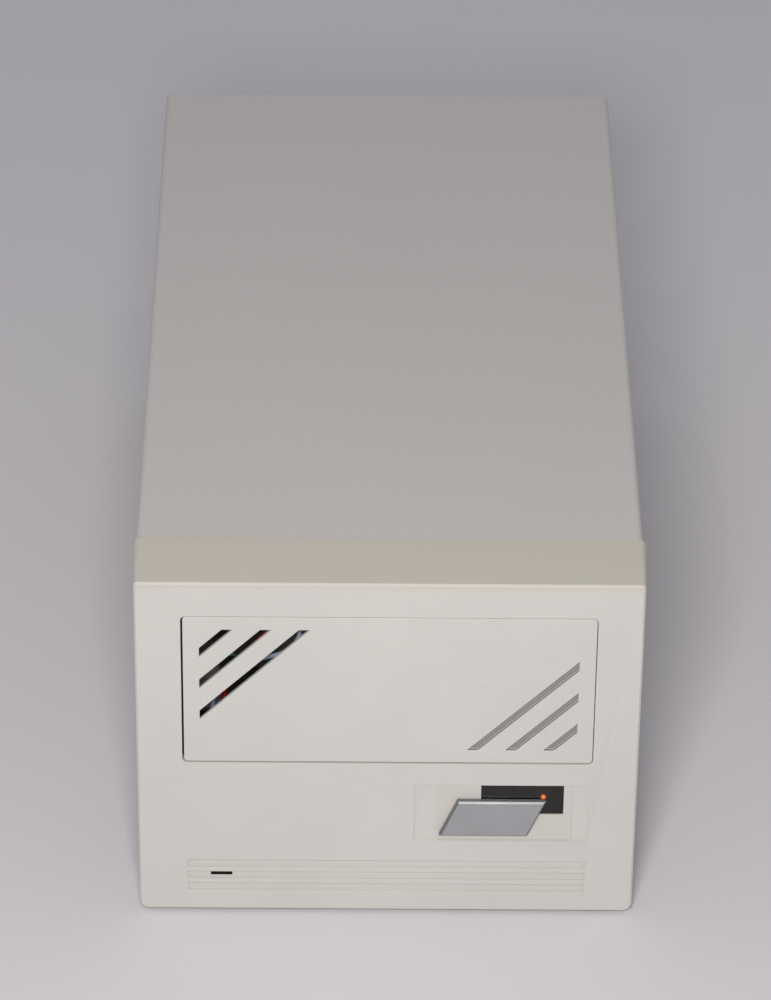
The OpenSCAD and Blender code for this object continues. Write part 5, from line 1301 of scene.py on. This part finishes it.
class ENCLOSURE_OT_rear(Step, bpy.types.Operator):
    """Finish the mains inlet, the power switch and the address switch"""
    bl_idname = "enclosure.rear"
    bl_label = "Rear Panel"
    group = "enclosure_rear"

    def make(self, settings):
        nylon = moulded_nylon("glass_filled_nylon", settings.nylon)
        dress_all(
            ("power_inlet", 0.3, "case", "black_plastic", nylon),
            ("inlet_blades", 0.25, "case", "blade_brass", plain("nickel_plated_steel")),
            ("switch_body", 0.25, "case", "black_plastic", nylon),
            ("switch_rocker", 0.3, "rocker", "black_plastic",
             moulded_nylon("polished_rocker_nylon", settings.nylon, roughness=(0.16, 0.24))))
        self.rocker_marks(settings)
        dress_all(
            ("address_body", 0.2, "case", "black_plastic", nylon),
            ("address_wheel", 0.15, "number_wheel", "cream_plastic",
             moulded_nylon("cream_acetal_wheel", settings.wheel)),
            ("address_up_button", 0.3, "up_button", "black_plastic", nylon),
            ("address_down_button", 0.3, "down_button", "black_plastic", nylon))
        self.wheel_digits(settings)

    def rocker_marks(self, settings):
        """A bar on the rocker's upper half and a ring on its lower half."""
        ink = plain("pad_printed_ink")
        rocker = Matrix.Translation(behind(*ROCKER_PIVOT)) @ Matrix.Rotation(ROCKER_TILT, 4, "X")
        out, up = ROCKER_FACE
        for name, text, side in (("rocker_bar", "I", 1), ("rocker_ring", "O", -1)):
            face = Matrix.Translation(Vector((0, out, side * up)) * MM)
            lean = Matrix.Rotation(-side * ROCKER_SLOPE, 4, "X")
            mark = marking(name, text, settings.mark, rocker @ face @ lean @ FACING_BACK, ink)
            fitted(mark, "rocker", "cream_plastic")

    def wheel_digits(self, settings):
        """A plain digit on each of the wheel's faces."""
        ink = plain("hot_stamped_digit")
        low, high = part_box("address_wheel")
        apothem = WHEEL_RADIUS * MM * math.cos(math.pi / WHEEL_FACES) + 0.005 * MM
        for k in range(WHEEL_FACES):
            around = Matrix.Rotation(2 * math.pi * k / WHEEL_FACES, 4, "X")
            place = Matrix.Translation((low + high) / 2) @ around @ Matrix.Translation((0, apothem, 0))
            fitted(marking(f"wheel_digit_{k}", str(k), settings.digit, place @ FACING_BACK, ink),
                   "number_wheel", "black_plastic")


class ENCLOSURE_OT_connectors(Step, bpy.types.Operator):
    """Finish the two receptacles, their contacts and their wire bails"""
    bl_idname = "enclosure.connectors"
    bl_label = "Connectors"
    group = "enclosure_rear"

    def make(self, settings):
        shell = plain("nickel_plated_steel")
        insert = moulded_nylon("blue_polyester_insert", settings.insert)
        wire = plain("tinned_spring_wire")
        contact = block("contact", Vector((-0.45, -3.1, -0.08)) * MM, Vector((0.45, 3.1, 0.08)) * MM,
                        0.05 * MM)
        tree = contact_tree()
        for level, height in RECEPTACLE_Z.items():
            dress(f"{level}_shell", 0.18 * MM, "case", "steel", shell)
            dress(f"{level}_insert", 0.2 * MM, "case", "blue_plastic", insert)
            rows = grown(f"{level}_contacts", points_mesh("contacts", [(0, 0, 0)]), tree, {
                "Contact": contact, "Count": settings.contacts, "Row Gap": settings.row_gap,
                "Centre": tuple(behind(RECEPTACLE_X, CONTACT_Y, height)),
                "Finish": plain("gold_flashed_contact")})
            fitted(rows, "case", "blade_brass")
            for side in ("left", "right"):
                surfaced(f"{level}_{side}_bail", wire)
        discard(contact)


class ENCLOSURE_OT_wiring(Step, bpy.types.Operator):
    """Lay the ribbon cable and the leads inside the case"""
    bl_idname = "enclosure.wiring"
    bl_label = "Wiring"
    group = "enclosure_wiring"

    def ribbon(self, settings):
        """The ribbon cable from the drive to both receptacles, and its three plugs."""
        bend_y, low_z, radius = RIBBON_BEND
        path = [(RIBBON_START, low_z)]
        path += [(bend_y + radius * math.sin(t), low_z + radius * (1 - math.cos(t)))
                 for t in (math.radians(a) for a in range(0, 91, 10))]
        path.append((bend_y + radius, RIBBON_TOP))
        places = [behind(RECEPTACLE_X, y, z) for y, z in path]
        flat = grown("finished_ribbon_cable", path_mesh("ribbon_cable", places), ribbon_tree(), {
            "Width": settings.ribbon_width, "Conductors": settings.conductors,
            "Finish": wire_jacket("ribbon_pvc", settings.ribbon)})
        fitted(flat, "case", "ribbon_grey", "ribbon_cable")
        black = moulded_nylon("black_polyester_plug", linear("#202022"))
        wide, deep, high = PLUG_SIZE
        for name, y, z in RIBBON_PLUGS:
            plug = block(name, behind(RECEPTACLE_X - wide, y, z - high),
                         behind(RECEPTACLE_X + wide, y + deep, z + high), 0.3 * MM, black)
            fitted(plug, "case", "ribbon_grey")

    def make(self, settings):
        self.ribbon(settings)
        tree = lead_tree()
        jackets = {name: wire_jacket(f"{name}_pvc", linear(tone)) for name, tone in JACKETS.items()}
        low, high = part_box("drive_power_socket")
        plug = block("drive_power_plug", Vector((low.x, high.y, low.z)),
                     Vector((high.x, high.y + settings.plug_depth, high.z)), 0.3 * MM,
                     moulded_nylon("natural_nylon_plug", linear("#E0DACA")))
        fitted(plug, "case", "cream_plastic", "drive_power_lead")
        last = len(POWER_DROP) - 1
        for k, (tone, start, end) in enumerate(POWER_WIRES):
            route = [(start + (end - start) * i / last, y, z) for i, (y, z) in enumerate(POWER_DROP)]
            wire = lead(f"drive_power_wire_{k}", route, tree, settings.lead, jackets[tone])
            fitted(wire, "case", "yellow_insulation")
        widths = {"mains_leads": settings.mains, "fan_lead": settings.fan}
        for node, wires in LEAD_ROUTES.items():
            for name, tone, route in wires:
                fitted(lead(name, route, tree, widths[node], jackets[tone]), "case", LEAD_SLOTS[tone], node)


class ENCLOSURE_OT_stage(Step, bpy.types.Operator):
    """Lay the floor, set the lights and place the camera"""
    bl_idname = "enclosure.stage"
    bl_label = "Stage"
    group = "enclosure_stage"

    def make(self, settings):
        half = settings.floor_size / 2
        mesh = bpy.data.meshes.new("floor")
        mesh.from_pydata([(-half, -half, 0), (half, -half, 0), (half, half, 0), (-half, half, 0)], [],
                         [(0, 1, 2, 3)])
        mesh.materials.append(pale_laminate(settings.floor))
        placed_object("floor", mesh)
        self.light(settings)
        self.camera(settings)
        bpy.context.scene.view_settings.view_transform = "Standard"

    def light(self, settings):
        """One small warm lamp above the camera, and an even cool light all round."""
        light = bpy.data.lights.new("key", "AREA")
        light.energy = settings.key
        light.size = settings.key_size
        light.color = settings.key_tint[:3]
        lamp = placed_object("key", light)
        lamp.location = KEY_PLACE
        lamp.rotation_euler = (Vector(KEY_TARGET) - Vector(KEY_PLACE)).to_track_quat("-Z", "Y").to_euler()
        world = bpy.data.worlds.new("soft_room")
        world.use_nodes = True
        world.node_tree.nodes.clear()
        sky = add(world.node_tree, "ShaderNodeBackground", {
            "Color": settings.sky_tint, "Strength": settings.sky})
        add(world.node_tree, "ShaderNodeOutputWorld", {"Surface": sky.outputs[0]})
        bpy.context.scene.world = world

    def camera(self, settings):
        """The camera as fitted to the picture."""
        lens = bpy.data.cameras.new("camera")
        lens.lens = settings.lens
        lens.clip_start = 0.05
        camera = placed_object("camera", lens)
        turn = Matrix((CAMERA_RIGHT, CAMERA_UP, CAMERA_BACK)).transposed()
        camera.matrix_world = Matrix.Translation(settings.camera) @ turn.to_4x4()
        bpy.context.scene.camera = camera


class VIEW3D_PT_enclosure(bpy.types.Panel):
    """Pieces and settings of the enclosure"""
    bl_label = "Drive Enclosure"
    bl_idname = "VIEW3D_PT_enclosure"
    bl_space_type = "VIEW_3D"
    bl_region_type = "UI"
    bl_category = "Enclosure"

    def draw(self, context):
        for operator in STEPS:
            box = self.layout.box()
            box.operator(operator.bl_idname)
            settings = getattr(context.scene, operator.group)
            for name in settings.__annotations__:
                box.prop(settings, name)


GROUPS = {
    "enclosure_bezel": BezelSettings, "enclosure_label": LabelSettings, "enclosure_case": CaseSettings,
    "enclosure_screws": ScrewSettings, "enclosure_lamps": LampSettings, "enclosure_drive": DriveSettings,
    "enclosure_supply": SupplySettings, "enclosure_fan": FanSettings, "enclosure_rear": RearSettings,
    "enclosure_wiring": WiringSettings, "enclosure_stage": StageSettings,
}
STEPS = (
    ENCLOSURE_OT_stage, ENCLOSURE_OT_bezel, ENCLOSURE_OT_label, ENCLOSURE_OT_case, ENCLOSURE_OT_screws,
    ENCLOSURE_OT_indicators, ENCLOSURE_OT_drive, ENCLOSURE_OT_supply, ENCLOSURE_OT_fan, ENCLOSURE_OT_rear,
    ENCLOSURE_OT_connectors, ENCLOSURE_OT_wiring,
)


def register():
    for group in GROUPS.values():
        bpy.utils.register_class(group)
    for operator in STEPS:
        bpy.utils.register_class(operator)
    bpy.utils.register_class(VIEW3D_PT_enclosure)
    for name, group in GROUPS.items():
        setattr(bpy.types.Scene, name, PointerProperty(type=group))


def unregister():
    for name in GROUPS:
        delattr(bpy.types.Scene, name)
    bpy.utils.unregister_class(VIEW3D_PT_enclosure)
    for operator in STEPS:
        bpy.utils.unregister_class(operator)
    for group in GROUPS.values():
        bpy.utils.unregister_class(group)


def main():
    """Make every piece, then note the box of the frame and of the finished object."""
    register()
    for operator in STEPS:
        family, name = operator.bl_idname.split(".")
        getattr(getattr(bpy.ops, family), name)()


if __name__ == "__main__":
    main()
